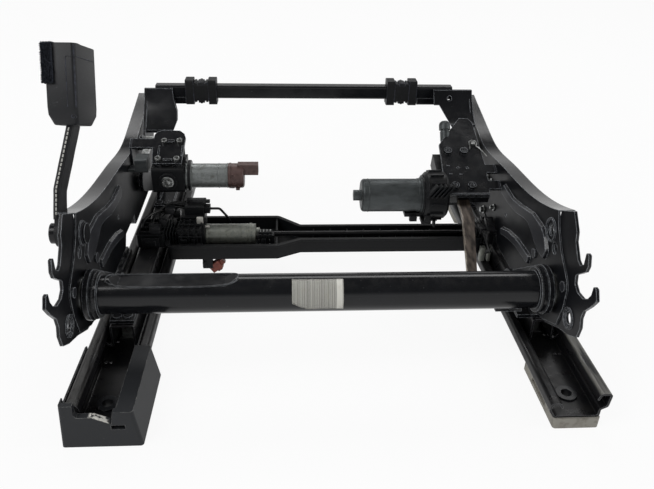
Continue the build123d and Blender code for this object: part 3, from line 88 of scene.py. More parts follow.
def feed(tree, socket, value):
    """Sets a socket to a plain value, or links another socket to it."""
    if isinstance(value, bpy.types.NodeSocket):
        tree.links.new(value, socket)
    else:
        socket.default_value = value


def add_node(tree, kind, inputs=None, **settings):
    """One node with its settings, and its inputs set or linked."""
    made = tree.nodes.new(kind)
    for name, value in settings.items():
        setattr(made, name, value)
    for key, value in (inputs or {}).items():
        feed(tree, made.inputs[key], value)
    return made


# Sizes and colours that a user would change

def paint(name, description, value):
    """A colour of the sidebar from its hex value."""
    return FloatVectorProperty(
        name=name, description=description, subtype="COLOR", size=3, min=0, max=1,
        default=hex_colour(value)[:3])


def length(name, description, default, **limits):
    """A length of the sidebar, in metres."""
    return FloatProperty(name=name, description=description, unit="LENGTH", default=default, **limits)


class SeatBaseColours(bpy.types.PropertyGroup):
    frame_paint: paint("Frame paint", "Gloss black coat of the pressed frame and tubes", "#0f1013")
    rail_paint: paint("Rail paint", "Satin black coat of the rails", "#141416")
    cover: paint("End cover", "Moulded cover round the rear end of the left rail", "#212326")
    foot: paint("Feet", "Blasted metal of the feet", "#99968e")
    tray: paint("Cross tray", "Glass filled plastic of the tray and gear cases", "#121315")
    motor_cap: paint("Tilt motor cap", "Brown plastic cap and plug of the tilt motor", "#5b4541")
    buckle: paint("Buckle", "Shell of the belt buckle", "#191a1d")
    label: paint("Label", "Paper of the striped label on the torque tube", "#d9d8d0")


class SeatBaseSizes(bpy.types.PropertyGroup):
    label_left: length("Label's left edge", "Where the label starts along the tube", -0.048)
    label_width: length("Label width", "Length of the label along the tube", 0.050, min=0.01)
    label_turn: FloatProperty(
        name="Label's lower edge", description="How far round the tube the label reaches, below level",
        subtype="ANGLE", default=math.radians(-25))
    pad_pile: length("Pad pile", "Length of the felt hairs on the buckle's pad", 0.0016, min=0)
    pad_hairs: IntProperty(
        name="Pad hairs", description="How many tufts the pad has", min=10, default=3200)
    weld_bead: length("Weld bead", "Radius of one ripple of the weld seams", 0.0019, min=0.0005)
    stitch_pitch: length(
        "Stitch pitch", "Distance between two stitches on the buckle's strap", 0.0042, min=0.001)
    backdrop: length("Floor size", "Edge of the pale floor", 12.0)


def sizes():
    """The user's sizes."""
    return bpy.context.scene.seat_base_sizes


def chosen(name):
    """One of the user's colours, with its alpha."""
    return (*getattr(bpy.context.scene.seat_base_colours, name), 1.0)


# What the finishes are put together from

SOFT_EDGE_MM = 0.6


def object_place(tree):
    """The place of a point on the model, in metres."""
    return add_node(tree, "ShaderNodeTexCoord").outputs["Object"]


def along(tree, axis):
    """How far along X, Y or Z of the model a point lies, in metres."""
    return add_node(tree, "ShaderNodeSeparateXYZ", {"Vector": object_place(tree)}).outputs[axis]


def facing(tree, axis):
    """How much the surface looks along X, Y or Z of the model, from -1 to 1."""
    normal = add_node(tree, "ShaderNodeNewGeometry").outputs["Normal"]
    return add_node(tree, "ShaderNodeSeparateXYZ", {"Vector": normal}).outputs[axis]


def pattern(tree, size_mm, detail=3.0, stretch=(1, 1, 1)):
    """Noise with lumps about size_mm across; a stretch under 1 draws them out along its axis."""
    place = add_node(tree, "ShaderNodeMapping", {"Vector": object_place(tree), "Scale": stretch})
    return add_node(tree, "ShaderNodeTexNoise", {
        "Vector": place.outputs["Vector"], "Scale": 1000.0 / size_mm, "Detail": detail, "Roughness": 0.55,
    }).outputs["Fac"]


def stepped(tree, value, low, high, bottom=0.0, top=1.0):
    """value mapped from the range low to high onto bottom to top, and held there."""
    return add_node(tree, "ShaderNodeMapRange", {
        "Value": value, "From Min": low, "From Max": high, "To Min": bottom, "To Max": top,
    }, clamp=True).outputs["Result"]


def patches(tree, size_mm, detail, low, high, bottom=0.0, top=1.0, stretch=(1, 1, 1)):
    """Patches of a pattern: bottom where its noise is under low, and top where it is over high."""
    return stepped(tree, pattern(tree, size_mm, detail, stretch), low, high, bottom, top)


def joined(tree, *values, operation="MULTIPLY"):
    """Values multiplied one after another, or put together by another operation."""
    result = values[0]
    for value in values[1:]:
        result = add_node(tree, "ShaderNodeMath", {0: result, 1: value}, operation=operation).outputs[0]
    return result


def between(tree, value, outer_low, inner_low, inner_high, outer_high):
    """1 from inner_low to inner_high, falling softly to 0 at the outer two."""
    return joined(
        tree, stepped(tree, value, outer_low, inner_low), stepped(tree, value, inner_high, outer_high, 1, 0))


def laid(tree, base, over, *masks):
    """The base colour, with the hex colour over laid on it where all the masks are 1."""
    # sockets 6 and 7 are the node's two colours, and its output 2 is the mixed one
    mix = {"Factor": joined(tree, *masks), 6: base, 7: hex_colour(over)}
    return add_node(tree, "ShaderNodeMix", mix, data_type="RGBA").outputs[2]


def facing_up(tree, low=0.55, high=0.95):
    """1 where the surface looks up, for dust, scuffs and the painted highlight on the rails' lips."""
    return stepped(tree, facing(tree, "Z"), low, high)


def soft_normal(tree, edge_mm):
    """Normals rounded over the edges, as pressing, moulding and paint round them."""
    return add_node(tree, "ShaderNodeBevel", {"Radius": edge_mm * MM}).outputs["Normal"]


def edges(tree, edge_mm):
    """1 along the sharp edges of a piece, where paint is thin; the finishes paint a highlight there,
    standing in for the light a rounded edge catches.
    """
    flat = add_node(tree, "ShaderNodeNewGeometry").outputs["Normal"]
    normals = {0: soft_normal(tree, edge_mm), 1: flat}
    match = add_node(tree, "ShaderNodeVectorMath", normals, operation="DOT_PRODUCT").outputs["Value"]
    starts, full = 0.985, 0.88
    return stepped(tree, match, starts, full)


def surface(tree, colour, roughness, relief, depth_mm, **others):
    """Gives the shader its colour, roughness, other values, and a relief over softly rounded edges."""
    shader = tree.nodes["Principled BSDF"]
    bump = add_node(tree, "ShaderNodeBump", {
        "Height": relief, "Strength": 1.0, "Distance": depth_mm * MM,
        "Normal": soft_normal(tree, SOFT_EDGE_MM)})
    values = {"Base Color": colour, "Roughness": roughness, "Normal": bump.outputs["Normal"], **others}
    for name, value in values.items():
        feed(tree, shader.inputs[name.replace("_", " ")], value)


# Finishes

def electrocoated_steel(tree):
    """Black cathodic coat on pressed steel: even and glossy, with fine orange peel; it mirrors the room."""
    cloud = pattern(tree, 30)
    dust = joined(tree, facing_up(tree), patches(tree, 9, 6, 0.42, 0.75, 0.0, 0.10))
    base = laid(tree, chosen("frame_paint"), "#16171a", stepped(tree, cloud, 0.3, 0.7))
    base = laid(tree, base, "#5d5b57", dust)
    base = laid(tree, base, "#4a4c50", patches(tree, 2.2, 8, 0.72, 0.80, 0.0, 0.35, (1, 0.25, 1)))
    # the shoulders of the webs' raised bands get a painted highlight: a lighter line where their sheen would
    # be
    across = joined(tree, along(tree, "X"), -SEAT_X, operation="ADD")
    across = joined(tree, across, 0.0, operation="ABSOLUTE")
    shoulder_highlight = between(
        tree, across, WEB_INNER - 0.0034, WEB_INNER - 0.0028, WEB_INNER - 0.0022, WEB_INNER - 0.0008)
    base = laid(tree, base, "#3b3c40", shoulder_highlight, stepped(tree, cloud, 0.3, 0.7, 0.5, 1.0))
    base = laid(tree, base, "#77787a", patches(tree, 1.3, 2, 0.73, 0.78, 0.0, 0.5))
    # a painted highlight along the sharp edges, in patches
    base = laid(tree, base, "#a9adb2", edges(tree, 1.2), patches(tree, 5, 5, 0.35, 0.6, 0.35, 1.0))
    # the upright webs are duller: oil mist from the rails lies on them
    upright = joined(tree, facing(tree, "X"), 0.0, operation="ABSOLUTE")
    rough = stepped(tree, joined(tree, cloud, dust, operation="ADD"), 0.3, 1.0, 0.12, 0.30)
    rough = joined(tree, rough, stepped(tree, upright, 0.75, 0.95, 0.0, 0.20), operation="ADD")
    gloss = stepped(tree, upright, 0.75, 0.95, 0.36, 0.10)
    surface(tree, base, rough, pattern(tree, 1.6, 2), 0.02, Specular_IOR_Level=gloss)


def coated_rail_steel(tree):
    """Thin satin coat on roll formed rail steel, worn to pale metal along the tops of the lips, where a
    highlight is painted as well, and with a painted highlight along its edges.
    """
    dust = patches(tree, 14, 8, 0.45, 0.75, 0.0, 0.22)
    scratch = patches(tree, 1.2, 6, 0.68, 0.78, 0.0, 0.4, (1, 0.04, 1))
    base = laid(tree, chosen("rail_paint"), "#3c3935", facing_up(tree, 0.3), dust)
    base = laid(tree, base, "#4d4c4a", scratch)
    # the tops of the lips are lighter, part wear and part painted highlight; the right rail's outer lip is
    # lightest
    lip = between(
        tree, along(tree, "Z"), LIP_TOP - 0.0030, LIP_TOP - 0.0016, LIP_TOP + 0.0008, LIP_TOP + 0.0012)
    worn = patches(tree, 6, 6, 0.36, 0.52, stretch=(1, 0.1, 1))
    right = stepped(tree, along(tree, "X"), 0.238, 0.240, 0.10, 0.75)
    base = laid(tree, base, "#7d7c77", lip, facing_up(tree, 0.3, 0.8), worn, right)
    # a painted highlight along the sharp edges, in patches
    edge_highlight_patches = patches(tree, 6, 6, 0.35, 0.6, 0.2, 0.9, (1, 0.2, 1))
    base = laid(tree, base, "#85868a", edges(tree, 0.8), edge_highlight_patches)
    rough = patches(tree, 11, 5, 0.3, 0.7, 0.24, 0.44)
    surface(tree, base, rough, pattern(tree, 2.2, 4), 0.03, Specular_IOR_Level=0.36)


def bright_zinc(tree):
    """Zinc plate, blue passivated: bright and a little cloudy, duller where hands and weather reach."""
    base = laid(tree, hex_colour("#a2a4a3"), "#504e48", patches(tree, 4, 6, 0.45, 0.7, 0, 0.7))
    rough = patches(tree, 3, 4, 0.3, 0.7, 0.24, 0.44)
    surface(tree, base, rough, pattern(tree, 1.0, 3), 0.015, Metallic=1.0)


def galvanised_steel(tree):
    """Hot dip zinc on a drawn motor can: grey, with soft spangle about 4 mm wide and dull stains."""
    cells = {"Vector": object_place(tree), "Scale": 260.0}
    spangle = add_node(tree, "ShaderNodeTexVoronoi", cells).outputs["Color"]
    flake = add_node(tree, "ShaderNodeSeparateColor", {"Color": spangle}).outputs[0]
    # the tilt motor's can, which is the upper one, is a colder grey
    upper = stepped(tree, along(tree, "Z"), 0.085, 0.095)
    base = laid(tree, hex_colour("#94968d"), "#8c908f", upper)
    base = laid(tree, base, "#707473", stepped(tree, flake, 0, 1, 0, 0.6))
    base = laid(tree, base, "#5c5a54", patches(tree, 7, 8, 0.56, 0.72, 0, 0.75))
    rough = stepped(tree, flake, 0, 1, 0.36, 0.5)
    surface(tree, base, rough, pattern(tree, 5, 4), 0.03, Metallic=0.6)


def grey_motor_steel(tree):
    """Drawn steel can with a dull grey zinc coat, darker than the other two."""
    stain = patches(tree, 10, 7, 0.42, 0.7, 0, 0.8, (0.4, 1, 1))
    base = laid(tree, hex_colour("#55595a"), "#323536", stain)
    rough = patches(tree, 3, 5, 0.3, 0.7, 0.38, 0.55)
    surface(tree, base, rough, pattern(tree, 2.4, 4), 0.03, Metallic=0.7)


def ground_steel(tree):
    """Ground and oiled steel of spindles, balls and shafts, with fine turning lines."""
    line = pattern(tree, 0.8, 2, (0.1, 4, 4))
    base = laid(tree, hex_colour("#8e8c88"), "#6b665e", stepped(tree, line, 0.4, 0.7))
    surface(tree, base, stepped(tree, line, 0.3, 0.7, 0.22, 0.4), line, 0.01, Metallic=1.0)


def greased_bar_steel(tree):
    """Rolled flat bar under old grease: brown grey, streaked lengthwise, with a highlight painted on the
    faces that look left.
    """
    streak = pattern(tree, 5, 8, (1, 0.12, 1))
    side = add_node(tree, "ShaderNodeSeparateXYZ", {"Vector": soft_normal(tree, 2.4)}).outputs["X"]
    left_highlight_patches = patches(tree, 4, 6, 0.35, 0.5, stretch=(1, 0.2, 1))
    base = laid(tree, hex_colour("#4c4239"), "#241c17", stepped(tree, streak, 0.36, 0.62))
    # a painted highlight on the faces that look left, in patches
    base = laid(tree, base, "#a89e90", stepped(tree, side, -0.25, -0.6), left_highlight_patches)
    surface(tree, base, stepped(tree, streak, 0.3, 0.7, 0.3, 0.6), streak, 0.05, Metallic=0.55)


def blasted_foot_metal(tree):
    """Blasted and coated foot block: pale warm grey with a dry, sandy surface and dark dirt in the pits."""
    base = laid(tree, chosen("foot"), "#5f5a51", patches(tree, 8, 8, 0.5, 0.72, 0, 0.7))
    surface(tree, base, 0.68, pattern(tree, 0.7, 3), 0.06, Metallic=0.25)


def moulded_cover_plastic(tree):
    """Polypropylene with a spark eroded grain; the rear top edges are rubbed white by feet and loading."""
    base = laid(tree, chosen("cover"), "#26282b", patches(tree, 18, 5, 0.3, 0.7, 0, 0.4))
    base = laid(tree, base, "#6f6f6e", patches(tree, 1.1, 6, 0.66, 0.74, 0, 0.35))
    # a painted highlight along the sharp edges, in patches
    base = laid(tree, base, "#8a8a88", edges(tree, 1.0), patches(tree, 4, 6, 0.40, 0.6, 0.1, 0.8))
    across = joined(tree, along(tree, "X"), RAIL_X, operation="ADD")
    scuff = (
        between(tree, along(tree, "Z"), 0.0228, 0.0246, 0.0335, 0.0345),
        stepped(tree, along(tree, "Y"), -0.2555, -0.2562),
        facing_up(tree, 0.5, 0.8),
        between(tree, across, -0.0075, -0.0055, 0.0095, 0.0115),
        patches(tree, 5, 8, 0.42, 0.50),
    )
    base = laid(tree, base, "#d5d3cc", *scuff)
    surface(tree, base, 0.55, pattern(tree, 0.9, 3), 0.05, Specular_IOR_Level=0.35)


def glass_filled_nylon(tree):
    """Black nylon with glass: dead matt, faintly mottled by the fibres, dusty where it faces up."""
    fibres = patches(tree, 2, 5, 0.4, 0.7, 0, 0.5, (1, 3, 1))
    base = laid(tree, chosen("tray"), "#1c1d1f", fibres)
    base = laid(tree, base, "#3f3d3a", facing_up(tree, 0.5), patches(tree, 6, 8, 0.42, 0.75, 0, 0.28))
    # a painted highlight along the sharp edges, in patches
    base = laid(tree, base, "#55575a", edges(tree, 0.6), patches(tree, 3, 5, 0.35, 0.65, 0.1, 0.7))
    surface(tree, base, 0.40, pattern(tree, 0.9, 4), 0.03, Specular_IOR_Level=0.20)


def plug_plastic(tree, colour, dark):
    """Moulded polyester of plugs and caps: smooth, with dirt in the corners."""
    base = laid(tree, colour, dark, patches(tree, 5, 6, 0.45, 0.7, 0, 0.7))
    surface(tree, base, patches(tree, 3, 3, 0.3, 0.7, 0.34, 0.5), pattern(tree, 1.2, 3), 0.02)


def clip_rubber(tree):
    """Black rubbery plastic of the tube clips: matt, with a soft grey highlight painted along its edges."""
    base = laid(tree, hex_colour("#0f1012"), "#222326", patches(tree, 4, 6, 0.45, 0.75, 0, 0.4))
    # a painted highlight along the sharp edges, in patches
    base = laid(tree, base, "#5d6170", edges(tree, 1.0), patches(tree, 4, 5, 0.35, 0.6, 0.2, 0.9))
    surface(tree, base, 0.5, pattern(tree, 0.8, 3), 0.03, Specular_IOR_Level=0.3)


def buckle_shell_plastic(tree):
    """Grained ABS of the buckle's shell, with lighter scratches, and a highlight painted along its corners.
    """
    scratch = patches(tree, 1.6, 4, 0.70, 0.78, 0, 0.6, (0.3, 0.3, 1))
    base = laid(tree, chosen("buckle"), "#3c3e42", patches(tree, 3.5, 8, 0.60, 0.72, 0, 0.35))
    # a painted highlight along the sharp edges, in patches
    base = laid(tree, base, "#4c4e53", edges(tree, 1.2), patches(tree, 5, 6, 0.35, 0.6, 0.2, 0.9))
    base = laid(tree, base, "#7a7b7e", scratch)
    surface(tree, base, 0.46, pattern(tree, 0.8, 2), 0.04, Specular_IOR_Level=0.32)


def needle_felt(tree):
    """Needled black felt: a dull pile that shows no gloss."""
    base = laid(tree, hex_colour("#24272c"), "#51555f", patches(tree, 1.2, 6, 0.35, 0.7))
    surface(tree, base, 0.95, pattern(tree, 1.0, 5), 0.3, Specular_IOR_Level=0.1)


def woven_sleeve(tree):
    """Woven and coated sleeve over the buckle's strap: a rib each millimetre or so, with a soft shine."""
    wave = {"Vector": object_place(tree), "Scale": 260.0, "Distortion": 0.6}
    rib = add_node(tree, "ShaderNodeTexWave", wave, bands_direction="Z").outputs["Fac"]
    base = laid(tree, hex_colour("#0e0f11"), "#1d1e21", rib)
    surface(tree, base, 0.42, rib, 0.10, Specular_IOR_Level=0.3)


def stitching_thread(tree):
    """Bonded white thread, greyed by wear."""
    base = laid(tree, hex_colour("#dddcd6"), "#a09f98", pattern(tree, 2, 4))
    surface(tree, base, 0.7, pattern(tree, 0.5, 2), 0.05)


def striped_label_paper(tree):
    """Coated paper label: plain bars across it and a bare strip at its right end, creased and stained."""
    left, width = sizes().label_left, sizes().label_width
    across = stepped(tree, along(tree, "X"), left, left + width)
    # bars between 0.8 and 3 mm wide
    lines = {"W": joined(tree, across, 38.0), "Detail": 2.0}
    lines = add_node(tree, "ShaderNodeTexNoise", lines, noise_dimensions="1D").outputs["Fac"]
    bars = (stepped(tree, lines, 0.45, 0.50), stepped(tree, across, 0.865, 0.87, 1.0, 0.0), 0.9)
    base = laid(tree, chosen("label"), "#484742", *bars)
    base = laid(tree, base, "#a39d8e", patches(tree, 9, 7, 0.52, 0.75, 0, 0.4))
    surface(tree, base, 0.55, pattern(tree, 6, 3), 0.12)


def glossy_button_plastic(tree):
    """Polished red plastic of the release button, worn a little on top."""
    base = laid(tree, hex_colour("#a3201c"), "#6f1512", patches(tree, 3, 5, 0.5, 0.7, 0, 0.4))
    surface(tree, base, patches(tree, 2, 4, 0.3, 0.7, 0.18, 0.34), pattern(tree, 2, 2), 0.01)


def weld_metal(tree):
    """Painted over weld bead: black, lumpy and a little glossier than the sheet."""
    base = laid(tree, hex_colour("#101113"), "#242629", pattern(tree, 2, 4))
    surface(tree, base, 0.3, pattern(tree, 1.2, 3), 0.08)


FINISHES = {}


def finish_tree(name):
    """The nodes of a new finish."""
    FINISHES[name] = bpy.data.materials.new(name)
    FINISHES[name].use_nodes = True
    return FINISHES[name].node_tree


def make_finishes():
    """Fills FINISHES with every finish."""
    for build in (
        electrocoated_steel, coated_rail_steel, bright_zinc, galvanised_steel, grey_motor_steel,
        ground_steel, greased_bar_steel, blasted_foot_metal, moulded_cover_plastic, glass_filled_nylon,
        clip_rubber, buckle_shell_plastic, needle_felt, woven_sleeve, stitching_thread,
        striped_label_paper, glossy_button_plastic, weld_metal,
    ):
        build(finish_tree(build.__name__))
    for name, colour, dark in (
        ("brown_plug_plastic", chosen("motor_cap"), "#3d2c28"),
        ("rust_plug_plastic", hex_colour("#8f4a3b"), "#54291f"),
        ("black_plug_plastic", hex_colour("#17181a"), "#2a2b2e"),
        ("pale_plug_plastic", hex_colour("#cfcdc6"), "#8b8880"),
        ("lead_sleeve_plastic", hex_colour("#0f1011"), "#222325"),
    ):
        plug_plastic(finish_tree(name), colour, dark)


SLOT_FINISH = {
    "rail_coat": "coated_rail_steel", "frame_coat": "electrocoated_steel", "bright_zinc": "bright_zinc",
    "galvanised_can": "galvanised_steel", "grey_can": "grey_motor_steel", "ground_steel": "ground_steel",
    "greased_bar": "greased_bar_steel", "foot_metal": "blasted_foot_metal",
    "cover_plastic": "moulded_cover_plastic", "black_plastic": "glass_filled_nylon",
    "brown_plastic": "brown_plug_plastic", "rust_plastic": "rust_plug_plastic",
    "clip_rubber": "clip_rubber", "buckle_plastic": "buckle_shell_plastic", "stalk_sleeve": "woven_sleeve",
    "button_plastic": "glossy_button_plastic", "lead_sleeve": "lead_sleeve_plastic",
}

# Nodes that look duller than the rest of their kind
NODE_FINISH = {"foot_eyelets": "weld_metal", "tilt_guide": "grey_motor_steel"}


# Making pieces

def piece(name, mesh, body, slot, finish=None):
    """A mesh as a piece that rides on a body, in the slot's finish where no other is given."""
    made = bpy.data.objects.new(name, mesh)
    bpy.context.scene.collection.objects.link(made)
    mesh.materials.clear()
    mesh.materials.append(FINISHES[finish or SLOT_FINISH[slot]])
    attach(made, body)
    return made


def plain_mesh(name, shape):
    """A filled bmesh as a mesh."""
    mesh = bpy.data.meshes.new(name)
    shape.to_mesh(mesh)
    shape.free()
    return mesh


def smooth_mesh(name, shape):
    """A filled bmesh as a smooth mesh with merged doubles and outward normals."""
    bmesh.ops.remove_doubles(shape, verts=shape.verts, dist=1e-6)
    bmesh.ops.recalc_face_normals(shape, faces=shape.faces)
    mesh = plain_mesh(name, shape)
    for face in mesh.polygons:
        face.use_smooth = True
    return mesh


def fitting(name, body, slot, build, degrees=35, finish=None):
    """A piece that a function builds in a bmesh, with the edges over an angle kept sharp."""
    shape = bmesh.new()
    build(shape)
    mesh = smooth_mesh(name, shape)
    mesh.set_sharp_from_angle(angle=math.radians(degrees))
    return piece(name, mesh, body, slot, finish)


def circle(middle, side, lift, radius, count):
    """Points round a middle, in the plane of two directions."""
    turns = [math.tau * i / count for i in range(count)]
    return [middle + (side * math.cos(turn) + lift * math.sin(turn)) * radius for turn in turns]


def skin(shape, rings, looped=False):
    """Faces between rings of points, closed by two flat ends or by looping back to the first ring."""
    rows = [[shape.verts.new(point) for point in ring] for ring in rings]
    count = len(rows[0])
    for a, b in zip(rows, rows[1:] + rows[:1] if looped else rows[1:]):
        for i in range(count):
            shape.faces.new((a[i], a[(i + 1) % count], b[(i + 1) % count], b[i]))
    if not looped:
        shape.faces.new(rows[0][::-1])
        shape.faces.new(rows[-1])


def swept(shape, path, radius, sides, closed=False):
    """A round bar along a path of points, in metres."""
    rings = []
    count = len(path)
    # a direction that no bar here runs along
    up = Vector((0.13, 0.21, 0.97))
    for i, point in enumerate(path):
        ahead = path[(i + 1) % count] if closed or i < count - 1 else point
        behind = path[i - 1] if closed or i > 0 else point
        run = (ahead - behind).normalized()
        side = run.cross(up).normalized()
        rings.append(circle(point, side, side.cross(run).normalized(), radius, sides))
    skin(shape, rings, closed)


def wire(shape, points, radius, closed=False):
    """A round wire through points in millimetres, smoothed between them."""
    path = [Vector(p) * MM for p in points]
    for _ in range(2):
        cut = [] if closed else [path[0]]
        pairs = zip(path, path[1:] + path[:1]) if closed else zip(path, path[1:])
        for a, b in pairs:
            cut += [a.lerp(b, 0.25), a.lerp(b, 0.75)]
        path = cut if closed else cut + [path[-1]]
    swept(shape, path, radius * MM, 8, closed)


def turned(shape, centre, axis, profile, sides=32):
    """A turned part from pairs of distance along its axis and radius, in millimetres."""
    run = Vector(axis).normalized()
    side = run.orthogonal().normalized()
    lift = run.cross(side)
    start = Vector(centre) * MM
    rings = [circle(start + run * reach * MM, side, lift, radius * MM, sides) for reach, radius in profile]
    skin(shape, rings)


def rounded_block(shape, low, high, edge, matrix=None):
    """A box between two corners with its edges bevelled, in metres."""
    corners = bmesh.ops.create_cube(shape, size=1.0)["verts"]
    for v in corners:
        v.co = (low + high) / 2 + v.co * (high - low)
    box_edges = list({e for v in corners for e in v.link_edges})
    bevel = bmesh.ops.bevel(shape, geom=box_edges, offset=edge, segments=2, profile=0.7, affect="EDGES")
    if matrix:
        moved = {v for f in bevel["faces"] for v in f.verts} | {v for v in corners if v.is_valid}
        bmesh.ops.transform(shape, matrix=matrix, verts=list(moved))


def blocks(shape, boxes, edge=0.6, matrix=None):
    """Bevelled blocks from pairs of corners, in millimetres."""
    for low, high in boxes:
        rounded_block(shape, Vector(low) * MM, Vector(high) * MM, edge * MM, matrix)


def scattered_tree(name, labels, make_copy):
    """A geometry tree with named sizes: copies on a mesh's points, turned to their normals, made real."""
    tree = bpy.data.node_groups.new(name, "GeometryNodeTree")
    ends = [("Geometry", "INPUT", "Geometry"), ("Geometry", "OUTPUT", "Geometry")]
    inputs = [("Finish", "INPUT", "Material")] + [(label, "INPUT", "Float") for label in labels]
    for label, way, kind in ends + inputs:
        tree.interface.new_socket(label, in_out=way, socket_type="NodeSocket" + kind)
    source, end = tree.nodes.new("NodeGroupInput"), tree.nodes.new("NodeGroupOutput")
    copy = make_copy(tree, source)
    normal = add_node(tree, "GeometryNodeInputNormal").outputs[0]
    turn = add_node(tree, "FunctionNodeAlignRotationToVector", {"Vector": normal}, axis="Z").outputs[0]
    placed = add_node(tree, "GeometryNodeInstanceOnPoints", {
        "Points": source.outputs["Geometry"], "Instance": copy, "Rotation": turn}).outputs[0]
    real = add_node(tree, "GeometryNodeRealizeInstances", {0: placed}).outputs[0]
    dressed = add_node(tree, "GeometryNodeSetMaterial", {
        "Geometry": real, "Material": source.outputs["Finish"]}).outputs[0]
    tree.links.new(dressed, end.inputs["Geometry"])
    return tree


def grown(name, tree, places, values, body, slot, finish):
    """Copies that a geometry tree puts at places, each with its own direction, as one plain piece."""
    shape = bmesh.new()
    for place, direction in places:
        # a tiny triangle, because a loose point has no normal
        direction = direction.normalized()
        side = direction.orthogonal().normalized() * 1e-6
        lift = direction.cross(side)
        shape.faces.new([shape.verts.new(place + p) for p in (side, lift - side, -lift - side)])
    holder = bpy.data.objects.new(name + "_base", plain_mesh(name + "_base", shape))
    bpy.context.scene.collection.objects.link(holder)
    growth = holder.modifiers.new("growth", "NODES")
    growth.node_group = tree
    values = {**values, "Finish": FINISHES[finish]}
    for item in tree.interface.items_tree:
        if item.item_type == "SOCKET" and item.in_out == "INPUT" and item.name in values:
            growth[item.identifier] = values[item.name]
    seen = bpy.context.evaluated_depsgraph_get()
    mesh = bpy.data.meshes.new_from_object(holder.evaluated_get(seen))
    bpy.data.objects.remove(holder)
    mesh.name = name
    return piece(name, mesh, body, slot, finish)


class SEATBASE_OT_finishes(bpy.types.Operator):
    """Makes the finishes and puts them on the solids"""
    bl_idname = "seatbase.finishes"
    bl_label = "Finishes"

    def execute(self, context):
        make_finishes()
        slots = {s["node"]: s["material_slot"] for s in frame["record"]["subparts"]}
        for name, solid in NODES.items():
            finish = FINISHES[NODE_FINISH.get(name, SLOT_FINISH[slots[name]])]
            if not solid.material_slots:
                solid.data.materials.append(finish)
            for holder in solid.material_slots:
                holder.material = finish
        return {"FINISHED"}


class SEATBASE_OT_label(bpy.types.Operator):
    """Adds the striped paper label on the torque tube"""
    bl_idname = "seatbase.label"
    bl_label = "Tube label"

    def execute(self, context):
        size = sizes()
        columns, rows = 36, 14
        top = math.radians(74)
        shape = bmesh.new()
        grid = []
        for i in range(columns + 1):
            t = i / columns
            # the lower edge is torn up at the left end, and a little uneven along the rest
            low = size.label_turn + (math.radians(22) * max(0.0, 1 - t / 0.28) ** 0.8)
            low += math.radians(2.5) * noise.noise(Vector((t * 9, 0.3, 0)))
            column = []
            for j in range(rows + 1):
                turn = low + (top - low) * j / rows
                # the paper lies just off the tube, with shallow creases
                lift = TUBE_RADIUS + 0.00025 + 0.00012 * noise.noise(Vector((t * 5, turn * 3, 1.7)))
                column.append(shape.verts.new((
                    size.label_left + size.label_width * t,
                    TUBE.y - lift * math.cos(turn), TUBE.z + lift * math.sin(turn))))
            grid.append(column)
        for a, b in zip(grid, grid[1:]):
            for j in range(rows):
                shape.faces.new((a[j], b[j], b[j + 1], a[j + 1]))
        mesh = smooth_mesh("tube_label", shape)
        made = piece("tube_label", mesh, "rear_links", "frame_coat", "striped_label_paper")
        wall = made.modifiers.new("thickness", "SOLIDIFY")
        wall.thickness, wall.offset = 0.00018, -1
        return {"FINISHED"}


class SEATBASE_OT_welds(bpy.types.Operator):
    """Adds the weld seams round the two ends of the torque tube"""
    bl_idname = "seatbase.welds"
    bl_label = "Weld seams"

    def execute(self, context):
        def lump(tree, source):
            ball = add_node(tree, "GeometryNodeMeshIcoSphere", {
                "Radius": source.outputs["Size"], "Subdivisions": 2}).outputs[0]
            flat = add_node(tree, "ShaderNodeCombineXYZ", {
                0: 1.0, 1: 1.0, 2: source.outputs["Flatness"]}).outputs[0]
            return add_node(tree, "GeometryNodeTransform", {"Geometry": ball, "Scale": flat}).outputs[0]

        places = []
        lumps = 46
        reach = TUBE_RADIUS + 0.0035
        for x in TUBE_ENDS:
            for i in range(lumps):
                turn = math.tau * i / lumps
                out = Vector((0, math.cos(turn), math.sin(turn)))
                places.append((Vector((x, TUBE.y, TUBE.z)) + out * reach, out))
        values = {"Size": sizes().weld_bead, "Flatness": 0.6}
        tree = scattered_tree("weld_seam", values, lump)
        grown("tube_welds", tree, places, values, "rear_links", "frame_coat", "weld_metal")
        return {"FINISHED"}


def buckle_matrix():
    """From the buckle's own frame, up its middle from the strap's top, to the model."""
    turn = Matrix.Rotation(-BUCKLE_LEAN, 4, "X") @ Matrix.Rotation(BUCKLE_YAW, 4, "Z")
    return Matrix.Translation(STRAP_TOP) @ turn


def strap_point(s):
    """Middle of the strap at s metres from its bolt."""
    z = ANCHOR.z + s * math.cos(STRAP_SLOPE)
    start = ANCHOR.z + STRAIGHT_STRAP
    lean = max(0.0, min(1.0, (z - start) / (STRAP_TOP.z - start)))
    return Vector((ANCHOR.x + (STRAP_TOP.x - ANCHOR.x) * lean, ANCHOR.y + s * math.sin(STRAP_SLOPE), z))


